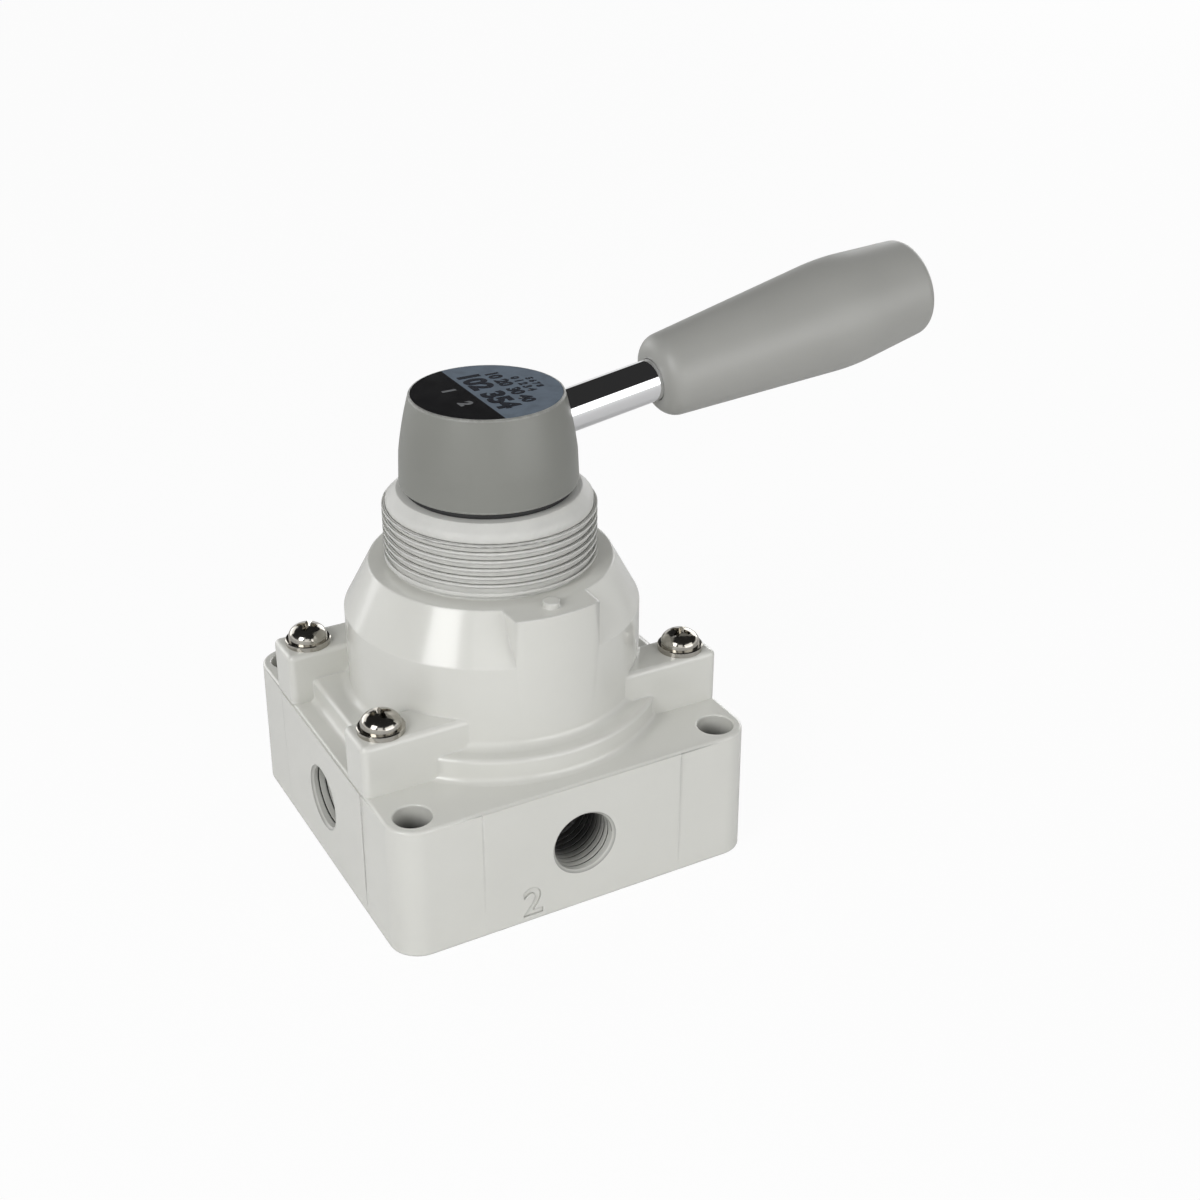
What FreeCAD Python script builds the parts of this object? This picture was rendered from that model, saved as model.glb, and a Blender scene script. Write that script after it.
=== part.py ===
import FreeCAD, Part
import math
import os
import re
import Sketcher

# Hand lever air valve: a four way, three position rotary valve in a 70 mm square housing.
# The origin is the middle of the housing's underside, on the spindle axis.
# +Z points up the spindle and +X is the way the lever points in its middle position.

os.makedirs("parts", exist_ok=True)
doc = FreeCAD.newDocument("hand_lever_air_valve")
sheet = doc.addObject("Spreadsheet::Sheet", "sizes")
Vector = FreeCAD.Vector
nodes = []

# Driving dimensions, in millimetres, or in degrees for an angle.
sizes = {
    # Clearances between pieces that fit into each other.
    "slip": 0.05,
    "running_gap": 0.1,
    "seat_film": 0.05,
    # How far a cutting tool runs past the face that it cuts through.
    "tool_overrun": 1,
    # Lower housing: a die cast block with drafted sides and a machined panel round each port.
    "body_width": 70,
    "body_height": 25.3,
    "body_corner": 5.5,
    "body_draft": 0.7,
    "body_edge": 0.6,
    "panel_width": 38.8,
    "panel_below_top": 0.3,
    "mount_hole_radius": 3.3,
    "mount_hole_inset": 5.25,
    "mount_hole_rim": 0.35,
    "port_height": 12.8,
    "port_radius": 5.72,
    "port_mouth_radius": 6.2,
    "port_depth": 12.5,
    "passage_radius": 3.2,
    "passage_circle": 13,
    # Seat plate that the disc slides on, the gasket under it and the two pins that hold it.
    "plate_thickness": 3,
    "gasket_thickness": 1,
    "plate_hole_radius": 2.8,
    "seat_pin_radius": 1.25,
    "seat_pin_circle": 18,
    "seat_pin_sunk": 3,
    "seat_pin_into_plate": 2,
    "joint_seal_groove_width": 1.6,
    "joint_seal_groove_depth": 1.5,
    "joint_seal_offset": 3,
    # Disc, spring and spindle.
    "disc_radius": 21.5,
    "disc_thickness": 7,
    "disc_edge": 0.8,
    "kidney_radius": 3,
    "kidney_depth": 2.5,
    "kidney_overlap": 4,
    "pilot_radius": 4,
    "pilot_length": 5,
    "spring_outer_radius": 10,
    "spring_inner_radius": 5,
    "spring_height": 2.3,
    "spring_thickness": 1,
    "drive_pin_radius": 2,
    "drive_pin_circle": 14,
    "drive_pin_reach": 4,
    "flange_radius": 21.3,
    "flange_thickness": 8,
    "shaft_radius": 7.5,
    "shaft_top_chamfer": 0.8,
    # Detent: two sprung balls in the spindle's flange, and the plate that they click into.
    "lever_swing": 45,
    "ball_radius": 2.5,
    "ball_circle": 16,
    "ball_pocket_floor": 1.4,
    "ball_travel": 0.5,
    "race_depth": 0.6,
    "detent_plate_thickness": 3,
    "detent_spring_radius": 1.85,
    "detent_wire_radius": 0.22,
    "detent_spring_turns": 4,
    "detent_spring_slices": 12,
    "detent_wire_sides": 8,
    "stop_pin_radius": 1.5,
    "stop_slot_depth": 3.5,
    "stop_pin_sunk": 4,
    # Bearing of the spindle in the cover.
    "thrust_thickness": 1.2,
    "bush_wall": 2,
    "bush_flange_width": 3.5,
    "bush_flange_thickness": 2.4,
    "bush_length": 12,
    "shaft_seal_depth": 1.5,
    "shaft_seal_above_bush": 2.2,
    "seal_land": 4.2,
    # Cover: a die cast drum on a flange with four screw arms, a cone and a threaded neck.
    "cavity_gap": 1,
    "drum_wall": 4.2,
    "ledge_width": 4,
    "ledge_height": 4.4,
    "ledge_edge": 0.8,
    "flange_flare": 1.2,
    "drum_foot_fillet": 1.6,
    "cone_height": 8.8,
    "cone_inset": 4.7,
    "roof_thickness": 7.65,
    "neck_radius": 19,
    "neck_height": 13.45,
    "neck_chamfer": 2.6,
    "neck_edge": 0.8,
    "neck_relief_height": 0.9,
    "neck_relief_depth": 0.9,
    "locating_pad_width": 16,
    "nub_radius": 1.5,
    "nub_height": 1.1,
    "nub_inset": 3.6,
    "arm_width": 8.8,
    "arm_height": 9.95,
    "arm_inset": 0.15,
    "arm_corner": 1.2,
    "arm_edge": 0.95,
    "arm_row": 17.4,
    "screw_inset": 5.45,
    # Cover screws, M4 with pan heads and a cross recess, each on a washer.
    "screw_radius": 2,
    "screw_head_radius": 3.55,
    "screw_head_height": 2.75,
    "screw_crown_radius": 5.2,
    "screw_reach": 10,
    "screw_bore_spare": 2,
    "recess_length": 4.2,
    "recess_width": 1,
    "recess_depth": 1.7,
    "washer_radius": 4.15,
    "washer_thickness": 1,
    # Knob, label plate and dust seal.
    "knob_gap": 1.15,
    "knob_bottom_radius": 15.8,
    "knob_waist_radius": 15.56,
    "knob_waist_height": 5.7,
    "knob_top_radius": 13.56,
    "knob_height": 16.1,
    "knob_side_curve": 70,
    "knob_edge": 0.4,
    "spindle_in_knob": 12.3,
    "label_radius": 13.1,
    "label_thickness": 0.4,
    "dust_seal_radius": 15,
    "dust_seal_bore_radius": 12,
    # Lever: a chromed rod screwed into the spindle through the knob, with a swelling grip.
    "lever_above_knob_foot": 7.15,
    "lever_tilt": 9.15,
    "rod_radius": 3.88,
    "rod_spigot_radius": 3,
    "rod_spigot_past_axis": 4.5,
    "rod_shoulder_clear": 0.8,
    "rod_in_grip": 27,
    "grip_start": 33.5,
    "grip_length": 57.6,
    "grip_neck_radius": 7.71,
    "grip_neck_edge": 3.4,
    "grip_swell_at": 40.2,
    "grip_swell_radius": 10.7,
    "grip_swell_blend": 3.6,
    "grip_end_radius": 9.35,
    "grip_end_edge": 1.9,
}
for row, (name, value) in enumerate(sizes.items(), 1):
    sheet.set(f"A{row}", name)
    sheet.set(f"B{row}", str(value))
    sheet.setAlias(f"B{row}", name)
doc.recompute()

# Levels along the spindle, from the underside up. Each one follows the piece below it.
seat_floor = "(body_height - plate_thickness - gasket_thickness)"
plate_bottom = "(body_height - plate_thickness)"
disc_bottom = "(body_height + seat_film)"
disc_top = f"({disc_bottom} + disc_thickness)"
flange_bottom = f"({disc_top} + spring_height)"
flange_top = f"({flange_bottom} + flange_thickness)"
thrust_top = f"({flange_top} + thrust_thickness)"
bush_bottom = f"({thrust_top} + running_gap)"
ceiling = f"({bush_bottom} + bush_flange_thickness)"
detent_bottom = f"({ceiling} - detent_plate_thickness)"
bush_top = f"({ceiling} + bush_length)"
land_top = f"({bush_top} + seal_land)"
ring_level = f"({ceiling} + roof_thickness)"
shoulder = f"({ring_level} - cone_height)"
neck_top = f"({ring_level} + neck_height)"
knob_foot = f"({neck_top} + knob_gap)"
spindle_top = f"({knob_foot} + spindle_in_knob)"
arm_top = "(body_height + arm_height)"
screw_seat = f"({arm_top} + washer_thickness)"

# Distances from the spindle axis.
side = "(body_width / 2)"
cavity_radius = "(disc_radius + cavity_gap)"
drum_radius = f"({cavity_radius} + drum_wall)"
ledge_radius = f"({drum_radius} + ledge_width)"
bush_radius = "(shaft_radius + bush_wall)"
bush_flange_radius = f"({bush_radius} + bush_flange_width - slip)"
joint_seal_circle = f"({cavity_radius} + joint_seal_offset)"
screw_reach_x = f"({side} - screw_inset)"
mount_hole_place = f"({side} - mount_hole_inset)"
ball_rest = f"({detent_bottom} + race_depth - running_gap - ball_radius)"
corners = [(1, 1), (-1, 1), (-1, -1), (1, -1)]
smooth = "smooth"


def bound(text):
    """Point every size name in an expression at its cell."""
    return re.sub(r"[a-z]\w*", lambda word: f"sizes.{word[0]}" if word[0] in sizes else word[0], text)


def number(text):
    """The value of an expression, for a first guess at a sketch's geometry."""
    value = sheet.evalExpression(text)
    return float(getattr(value, "Value", value))


def bind(item, **properties):
    """Tie properties to expressions of the sheet's sizes."""
    for name, text in properties.items():
        item.setExpression(name, bound(text))


def place(item, x="0", y="0", z="0", axis="0; 0; 1", angle="0"):
    """Stand an object at a point, turned about an axis."""
    item.setExpression(
        "Placement", bound(f"placement(vector({x}; {y}; {z}); rotation(vector({axis}); {angle}))")
    )


def cylinder(name, radius, height, angle="0", axis="0; 0; 1", **where):
    item = doc.addObject("Part::Cylinder", name)
    bind(item, Radius=radius, Height=height)
    place(item, axis=axis, angle=angle, **where)
    return item


def box(name, length, width, height, **where):
    item = doc.addObject("Part::Box", name)
    bind(item, Length=length, Width=width, Height=height)
    place(item, **where)
    return item


def torus(name, circle, section, **where):
    item = doc.addObject("Part::Torus", name)
    bind(item, Radius1=circle, Radius2=section)
    place(item, **where)
    return item


def sphere(name, radius, **where):
    item = doc.addObject("Part::Sphere", name)
    bind(item, Radius=radius)
    place(item, **where)
    return item


def fuse(name, pieces):
    item = doc.addObject("Part::MultiFuse", name)
    item.Shapes = pieces
    return item


def cut(name, base, tools):
    """Take one or more tools away from a base."""
    item = doc.addObject("Part::Cut", name)
    item.Base = base
    item.Tool = tools[0] if len(tools) == 1 else fuse(f"{name}_tools", tools)
    return item


def group(name, pieces):
    """Like pieces that share one node, each a solid of its own."""
    item = doc.addObject("Part::Compound", name)
    item.Links = pieces
    return item


def ring(name, outer, inner, height, **where):
    outside = cylinder(f"{name}_outside", outer, height, **where)
    inside = cylinder(f"{name}_inside", inner, height, **where)
    return cut(name, outside, [inside])


def keep(item, label):
    """Give a finished sub-part its label and put it on the list of nodes."""
    item.Label = label
    nodes.append(item)
    return item


def new_body(name):
    return doc.addObject("PartDesign::Body", f"{name}_body")


def origin_part(body, role):
    return next(item for item in body.Origin.OriginFeatures if item.Role == role)


def new_sketch(body, name, role="XY_Plane", rise="0"):
    """A sketch on one of the body's own planes, raised along that plane's normal."""
    sketch = body.newObject("Sketcher::SketchObject", f"{body.Name}_{name}")
    sketch.AttachmentSupport = [(origin_part(body, role), "")]
    sketch.MapMode = "FlatFace"
    sketch.setExpression("AttachmentOffset.Base.z", bound(rise))
    return sketch


def dimension(sketch, kind, place_of, text):
    """Add one dimension, bound to the sheet."""
    index = sketch.addConstraint(Sketcher.Constraint(kind, *place_of, number(text)))
    sketch.setExpression(f"Constraints[{index}]", bound(text))


def arc_between(start, end, radius):
    """A round side from start to end. A positive radius bends left, a negative one bends right."""
    middle = (start + end) / 2
    half = (end - start) / 2
    rise = max(radius * radius - half.Length ** 2, 0) ** 0.5
    left = Vector(-half.y, half.x, 0).normalize()
    centre = middle + left * (rise if radius > 0 else -rise)
    circle = Part.Circle(centre, Vector(0, 0, 1), abs(radius))
    first, last = (start, end) if radius > 0 else (end, start)
    return Part.ArcOfCircle(circle, circle.parameter(first), circle.parameter(last))


def draw_outline(sketch, points):
    """Draw a closed outline. Each point is (across, up), or (across, up, radius) before a round side.

    A round side marked smooth runs on from the side before it, in place of a fixed radius.
    """
    spots = [Vector(number(point[0]), number(point[1]), 0) for point in points]
    first = sketch.GeometryCount
    ends = []
    for step, point in enumerate(points):
        start = spots[step]
        end = spots[(step + 1) % len(points)]
        if len(point) == 2:
            sketch.addGeometry(Part.LineSegment(start, end), False)
            ends.append((1, 2))
        else:
            radius = number(point[2])
            sketch.addGeometry(arc_between(start, end, radius), False)
            ends.append((1, 2) if radius > 0 else (2, 1))
    for step in range(len(points)):
        after = (step + 1) % len(points)
        kind = "Tangent" if points[after][-1] == smooth else "Coincident"
        sketch.addConstraint(
            Sketcher.Constraint(kind, first + step, ends[step][1], first + after, ends[after][0])
        )
    for step, point in enumerate(points):
        corner = (-1, 1, first + step, ends[step][0])
        dimension(sketch, "DistanceX", corner, point[0])
        dimension(sketch, "DistanceY", corner, point[1])
        if len(point) == 3:
            dimension(sketch, "Radius", (first + step,), point[2].lstrip("-"))


def draw_circle(sketch, across, up, radius):
    centre = Vector(number(across), number(up), 0)
    index = sketch.addGeometry(Part.Circle(centre, Vector(0, 0, 1), number(radius)), False)
    dimension(sketch, "DistanceX", (-1, 1, index, 3), across)
    dimension(sketch, "DistanceY", (-1, 1, index, 3), up)
    dimension(sketch, "Radius", (index,), radius)


def draw_rectangle(sketch, left, low, right, high):
    draw_outline(sketch, [(left, low), (right, low), (right, high), (left, high)])


def draw_round_rectangle(sketch, left, low, right, high, radius):
    """A rectangle with rounded corners, drawn anticlockwise."""
    draw_outline(sketch, [
        (f"{left} + {radius}", low),
        (f"{right} - {radius}", low, radius),
        (right, f"{low} + {radius}"),
        (right, f"{high} - {radius}", radius),
        (f"{right} - {radius}", high),
        (f"{left} + {radius}", high, radius),
        (left, f"{high} - {radius}"),
        (left, f"{low} + {radius}", radius),
    ])


def draw_arc_slot(sketch, circle, half_width, middle, half_span):
    """A slot bent round the spindle axis, with round ends centred at the two ends of its span."""
    def on_circle(radius, angle):
        return f"({radius}) * cos({angle})", f"({radius}) * sin({angle})"
    low = f"({middle} - {half_span})"
    high = f"({middle} + {half_span})"
    outer = f"({circle} + {half_width})"
    inner = f"({circle} - {half_width})"
    draw_outline(sketch, [
        (*on_circle(outer, low), outer),
        (*on_circle(outer, high), half_width, smooth),
        (*on_circle(inner, high), f"-{inner}"),
        (*on_circle(inner, low), half_width, smooth),
    ])


def feature(body, kind, name, sketch, **lengths):
    item = body.newObject(f"PartDesign::{kind}", f"{body.Name}_{name}")
    item.Profile = sketch
    bind(item, **lengths)
    return item


def turned(body, name, points, kind="Revolution"):
    """Turn a half outline, (radius, height) in each point, about the body's Z axis."""
    sketch = new_sketch(body, f"{name}_outline", "XZ_Plane")
    draw_outline(sketch, points)
    item = feature(body, kind, name, sketch)
    item.ReferenceAxis = (sketch, ["V_Axis"])
    item.Angle = 360
    return item


def pocket_up(body, name, sketch, depth=None):
    """Cut upwards from the sketch: as deep as given, or right through."""
    item = feature(body, "Pocket", name, sketch)
    item.Reversed = True
    if depth:
        bind(item, Length=depth)
    else:
        item.Type = "ThroughAll"
    return item


def round_edges(body, name, base, chosen, radius):
    """Round the edges of a feature that a test picks out."""
    doc.recompute()
    edges = [f"Edge{count}" for count, edge in enumerate(base.Shape.Edges, 1) if chosen(edge)]
    item = body.newObject("PartDesign::Fillet", f"{body.Name}_{name}")
    item.Base = (base, edges)
    bind(item, Radius=radius)
    return item


def around(body, name, originals, count):
    """Repeat features round the spindle axis."""
    item = body.newObject("PartDesign::PolarPattern", f"{body.Name}_{name}")
    item.Originals = originals
    item.Axis = (origin_part(body, "Z_Axis"), [""])
    item.Angle = 360
    item.Occurrences = count
    body.Tip = item
    return item


def lies_at(height):
    """A test for edges that lie flat at one height."""
    return lambda edge: abs(edge.BoundBox.ZMin - height) < 0.01 and abs(edge.BoundBox.ZMax - height) < 0.01


def round_rim(height, radius):
    """A test for round edges of one radius that lie flat at one height."""
    at_height = lies_at(number(height))
    wanted = number(radius)
    return lambda edge: at_height(edge) and abs(getattr(edge.Curve, "Radius", 0) - wanted) < 0.01


def make_housing():
    """The lower block: four ports, the passages up to the seat and the holes for all fasteners."""
    body = new_body("housing")
    casting = new_sketch(body, "casting_outline")
    draw_round_rectangle(casting, f"-{side}", f"-{side}", side, side, "body_corner")
    block = feature(body, "Pad", "casting", casting, Length="body_height", TaperAngle="-body_draft")
    round_edges(body, "top_edge", block, lies_at(number("body_height")), "body_edge")
    for name, across, along in (("front_panels", "panel_width / 2", side), ("side_panels", side, "panel_width / 2")):
        panel = new_sketch(body, f"{name}_outline")
        draw_rectangle(panel, f"-{across}", f"-{along}", across, along)
        feature(body, "Pad", name, panel, Length="body_height - panel_below_top")

    port = new_sketch(body, "port_outline", "YZ_Plane")
    mouth = f"-{side}"
    chamfer_end = f"({mouth} + port_mouth_radius - port_radius)"
    bore_end = f"({mouth} + port_depth)"
    drill_end = f"({bore_end} + port_radius - passage_radius)"
    draw_outline(port, [
        (mouth, "port_height"),
        ("-passage_circle", "port_height"),
        ("-passage_circle", "port_height + passage_radius"),
        (drill_end, "port_height + passage_radius"),
        (bore_end, "port_height + port_radius"),
        (chamfer_end, "port_height + port_radius"),
        (mouth, "port_height + port_mouth_radius"),
    ])
    bore = feature(body, "Groove", "port", port)
    bore.ReferenceAxis = (port, ["Edge1"])
    bore.Angle = 360
    passage = new_sketch(body, "passage_outline", rise="port_height")
    draw_circle(passage, "0", "-passage_circle", "passage_radius")
    riser = pocket_up(body, "passage", passage)
    around(body, "ports_and_passages", [bore, riser], 4)

    recess = new_sketch(body, "seat_recess_outline", rise=seat_floor)
    draw_circle(recess, "0", "0", cavity_radius)
    pocket_up(body, "seat_recess", recess)
    turned(body, "joint_seal_groove", [
        (f"{joint_seal_circle} - joint_seal_groove_width / 2", "body_height - joint_seal_groove_depth"),
        (f"{joint_seal_circle} + joint_seal_groove_width / 2", "body_height - joint_seal_groove_depth"),
        (f"{joint_seal_circle} + joint_seal_groove_width / 2", "body_height + tool_overrun"),
        (f"{joint_seal_circle} - joint_seal_groove_width / 2", "body_height + tool_overrun"),
    ], "Groove")

    pins = new_sketch(body, "seat_pin_holes_outline", rise=f"{seat_floor} - seat_pin_sunk")
    screws = new_sketch(body, "screw_holes_outline", rise="body_height - screw_reach - screw_bore_spare")
    mounts = new_sketch(body, "mount_holes_outline")
    for turn in (45, 225):
        draw_circle(pins, f"seat_pin_circle * cos({turn})", f"seat_pin_circle * sin({turn})", "seat_pin_radius + slip")
    for x, y in corners:
        draw_circle(screws, f"{x} * {screw_reach_x}", f"{y} * arm_row", "screw_radius + slip")
        draw_circle(mounts, f"{x} * {mount_hole_place}", f"{y} * {mount_hole_place}", "mount_hole_radius")
    pocket_up(body, "seat_pin_holes", pins)
    pocket_up(body, "screw_holes", screws)
    drilled = pocket_up(body, "mount_holes", mounts)
    round_edges(body, "mount_hole_rims", drilled, round_rim("body_height", "mount_hole_radius"), "mount_hole_rim")
    keep(body, "housing")


def seat_layer(name, bottom, thickness, hole_radius, pin_depth):
    """A round sheet with the four passages in it and two holes for the seat pins."""
    sheet_disc = cylinder(f"{name}_disc", f"{cavity_radius} - slip", thickness, z=bottom)
    foot = f"{bottom} - tool_overrun"
    holes = []
    for turn in (0, 90, 180, 270):
        holes.append(cylinder(
            f"{name}_passage_{turn}", hole_radius, f"{thickness} + 2 * tool_overrun",
            x=f"passage_circle * cos({turn})", y=f"passage_circle * sin({turn})", z=foot,
        ))
    for turn in (45, 225):
        holes.append(cylinder(
            f"{name}_pin_{turn}", "seat_pin_radius + slip", f"{pin_depth} + tool_overrun",
            x=f"seat_pin_circle * cos({turn})", y=f"seat_pin_circle * sin({turn})", z=foot,
        ))
    return keep(cut(name, sheet_disc, holes), name)


def make_seat():
    """Gasket, hard seat plate, the two pins that stop it turning, and the seal under the cover."""
    through = "gasket_thickness + tool_overrun"
    blind = "seat_pin_into_plate + slip"
    seat_layer("seat_gasket", seat_floor, "gasket_thickness", "passage_radius", through)
    seat_layer("seat_plate", plate_bottom, "plate_thickness", "plate_hole_radius", blind)
    pins = [
        cylinder(
            f"seat_pin_{turn}", "seat_pin_radius", "seat_pin_sunk + gasket_thickness + seat_pin_into_plate",
            x=f"seat_pin_circle * cos({turn})", y=f"seat_pin_circle * sin({turn})",
            z=f"{seat_floor} - seat_pin_sunk",
        )
        for turn in (45, 225)
    ]
    keep(group("seat_pins", pins), "seat_pins")
    half_depth = "joint_seal_groove_depth / 2"
    keep(torus("joint_seal", joint_seal_circle, half_depth, z=f"body_height - {half_depth}"), "joint_seal")


def make_cover():
    """The upper casting. The arms are cast first, then the drum runs through them."""
    body = new_body("cover")
    arms = new_sketch(body, "arms_outline", rise="body_height")
    for row in ("arm_row", "-arm_row"):
        reach = f"({side} - arm_inset)"
        draw_round_rectangle(
            arms, f"-{reach}", f"{row} - arm_width / 2", reach, f"{row} + arm_width / 2", "arm_corner"
        )
    bars = feature(body, "Pad", "arms", arms, Length="arm_height")
    round_edges(body, "arm_edges", bars, lies_at(number(arm_top)), "arm_edge")

    ledge_top = "(body_height + ledge_height)"
    foot_radius = f"({ledge_radius} + flange_flare)"
    saddle = new_sketch(body, "saddle_outline", "XZ_Plane")
    draw_outline(saddle, [
        (f"-{foot_radius}", "body_height"),
        (foot_radius, "body_height", "-flange_flare"),
        (ledge_radius, "body_height + flange_flare"),
        (ledge_radius, f"{ledge_top} - ledge_edge", "ledge_edge"),
        (f"{ledge_radius} - ledge_edge", ledge_top),
        (f"-({ledge_radius} - ledge_edge)", ledge_top, "ledge_edge"),
        (f"-{ledge_radius}", f"{ledge_top} - ledge_edge"),
        (f"-{ledge_radius}", "body_height + flange_flare", "-flange_flare"),
    ])
    between_arms = feature(body, "Pad", "saddle", saddle, Length="2 * arm_row")
    between_arms.SideType = "Symmetric"
    relief_top = f"({ring_level} + neck_relief_height)"
    relief_radius = "(neck_radius - neck_relief_depth)"
    drum = turned(body, "drum", [
        ("0", "body_height"),
        (foot_radius, "body_height", "-flange_flare"),
        (ledge_radius, "body_height + flange_flare"),
        (ledge_radius, f"{ledge_top} - ledge_edge", "ledge_edge"),
        (f"{ledge_radius} - ledge_edge", ledge_top),
        (f"{drum_radius} + drum_foot_fillet", ledge_top, "-drum_foot_fillet"),
        (drum_radius, f"{ledge_top} + drum_foot_fillet"),
        (drum_radius, shoulder),
        (f"{drum_radius} - cone_inset", ring_level),
        (relief_radius, ring_level),
        (relief_radius, relief_top),
        ("neck_radius", relief_top),
        ("neck_radius", f"{neck_top} - neck_chamfer"),
        ("neck_radius - neck_chamfer", neck_top),
        ("0", neck_top),
    ])
    round_edges(body, "neck_edge", drum, round_rim(f"{neck_top} - neck_chamfer", "neck_radius"), "neck_edge")

    pad = new_sketch(body, "locating_pad_outline", rise=shoulder)
    half = "(locating_pad_width / 2)"
    pad_corner = f"(-sqrt({drum_radius} * {drum_radius} - {half} * {half}))"
    draw_outline(pad, [
        (f"-{half}", f"-{relief_radius}"),
        (f"-{half}", pad_corner, drum_radius),
        (half, pad_corner),
        (half, f"-{relief_radius}"),
    ])
    feature(body, "Pad", "locating_pad", pad, Length="cone_height")
    nub = new_sketch(body, "nub_outline", rise=ring_level)
    draw_circle(nub, "0", f"-({drum_radius} - nub_inset)", "nub_radius")
    feature(body, "Pad", "nub", nub, Length="nub_height")

    turned(body, "cavity", [
        ("0", "body_height - tool_overrun"),
        (cavity_radius, "body_height - tool_overrun"),
        (cavity_radius, ceiling),
        (bush_radius, ceiling),
        (bush_radius, bush_top),
        ("shaft_radius + running_gap", bush_top),
        ("shaft_radius + running_gap", land_top),
        ("dust_seal_bore_radius", land_top),
        ("dust_seal_bore_radius", f"{neck_top} + tool_overrun"),
        ("0", f"{neck_top} + tool_overrun"),
    ], "Groove")
    screws = new_sketch(body, "screw_holes_outline", rise="body_height")
    for x, y in corners:
        draw_circle(screws, f"{x} * {screw_reach_x}", f"{y} * arm_row", "screw_radius + running_gap")
    pocket_up(body, "screw_holes", screws)
    stop = new_sketch(body, "stop_hole_outline", rise=ceiling)
    draw_circle(stop, "0", "ball_circle", "stop_pin_radius + slip")
    pocket_up(body, "stop_hole", stop, "stop_pin_sunk")
    keep(body, "cover")


def cover_screw(number_of, x, y):
    """A pan head screw: the head is a short cylinder under a large ball, with two crossed slots."""
    where = dict(x=f"{x} * {screw_reach_x}", y=f"{y} * arm_row")
    name = f"screw_{number_of}"
    shank_foot = "(body_height - screw_reach)"
    shank = cylinder(f"{name}_shank", "screw_radius", f"{screw_seat} - {shank_foot}", z=shank_foot, **where)
    blank = cylinder(f"{name}_blank", "screw_head_radius", "screw_head_height", z=screw_seat, **where)
    crown = sphere(
        f"{name}_crown", "screw_crown_radius", z=f"{screw_seat} + screw_head_height - screw_crown_radius", **where
    )
    head = doc.addObject("Part::Common", f"{name}_head")
    head.Base = blank
    head.Tool = crown
    slots = [
        box(
            f"{name}_slot_{along}_{across}", along, across, "recess_depth + tool_overrun",
            x=f"{where['x']} - {along} / 2", y=f"{where['y']} - {across} / 2",
            z=f"{screw_seat} + screw_head_height - recess_depth",
        )
        for along, across in (("recess_length", "recess_width"), ("recess_width", "recess_length"))
    ]
    return cut(name, fuse(f"{name}_solid", [shank, head]), slots)


def make_cover_screws():
    screws = []
    washers = []
    for count, (x, y) in enumerate(corners, 1):
        screws.append(cover_screw(count, x, y))
        washers.append(ring(
            f"washer_{count}", "washer_radius", "screw_radius + running_gap", "washer_thickness",
            x=f"{x} * {screw_reach_x}", y=f"{y} * arm_row", z=arm_top,
        ))
    keep(group("cover_screws", screws), "cover_screws")
    keep(group("cover_washers", washers), "cover_washers")


def make_bearing():
    """Bush and thrust washer that carry the spindle in the cover, and the seal round its shaft."""
    bush = new_body("bush")
    turned(bush, "bush", [
        ("shaft_radius + slip", bush_bottom),
        (bush_flange_radius, bush_bottom),
        (bush_flange_radius, ceiling),
        (f"{bush_radius} - slip", ceiling),
        (f"{bush_radius} - slip", bush_top),
        ("shaft_radius + slip", bush_top),
    ])
    keep(bush, "spindle_bush")
    keep(
        ring("thrust_washer", bush_flange_radius, "shaft_radius + slip", "thrust_thickness", z=flange_top),
        "thrust_washer",
    )
    section = "(shaft_seal_depth / 2)"
    seal_height = f"{bush_top} + shaft_seal_above_bush"
    keep(torus("shaft_seal", f"shaft_radius - {section}", section, z=seal_height), "shaft_seal")


def make_disc():
    """The disc that joins the ports: two bent pockets in its face each span from one port to the next."""
    body = new_body("disc")
    turned(body, "blank", [
        ("0", disc_bottom),
        ("disc_radius - disc_edge", disc_bottom),
        ("disc_radius", f"{disc_bottom} + disc_edge"),
        ("disc_radius", disc_top),
        ("pilot_radius + slip", disc_top),
        ("pilot_radius + slip", f"{disc_top} - pilot_length + spring_height"),
        ("0", f"{disc_top} - pilot_length + spring_height"),
    ])
    kidneys = new_sketch(body, "kidneys_outline", rise=disc_bottom)
    for middle in ("0", "180"):
        draw_arc_slot(kidneys, "passage_circle", "kidney_radius", middle, "(lever_swing + kidney_overlap)")
    pocket_up(body, "kidneys", kidneys, "kidney_depth")
    pins = new_sketch(body, "drive_holes_outline", rise=f"{disc_top} - drive_pin_reach - slip")
    for row in ("drive_pin_circle", "-drive_pin_circle"):
        draw_circle(pins, "0", row, "drive_pin_radius + slip")
    pocket_up(body, "drive_holes", pins)
    keep(body, "valve_disc")

    pins = [
        cylinder(
            f"drive_pin_{count}", "drive_pin_radius", "2 * drive_pin_reach + spring_height",
            y=row, z=f"{disc_top} - drive_pin_reach",
        )
        for count, row in enumerate(("drive_pin_circle", "-drive_pin_circle"), 1)
    ]
    keep(group("drive_pins", pins), "drive_pins")


def make_disc_spring():
    """A coned spring washer that presses the disc on its seat."""
    body = new_body("disc_spring")
    turned(body, "cone", [
        ("spring_inner_radius", f"{flange_bottom} - spring_thickness"),
        ("spring_outer_radius", disc_top),
        ("spring_outer_radius", f"{disc_top} + spring_thickness"),
        ("spring_inner_radius", flange_bottom),
    ])
    keep(body, "disc_spring")


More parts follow.
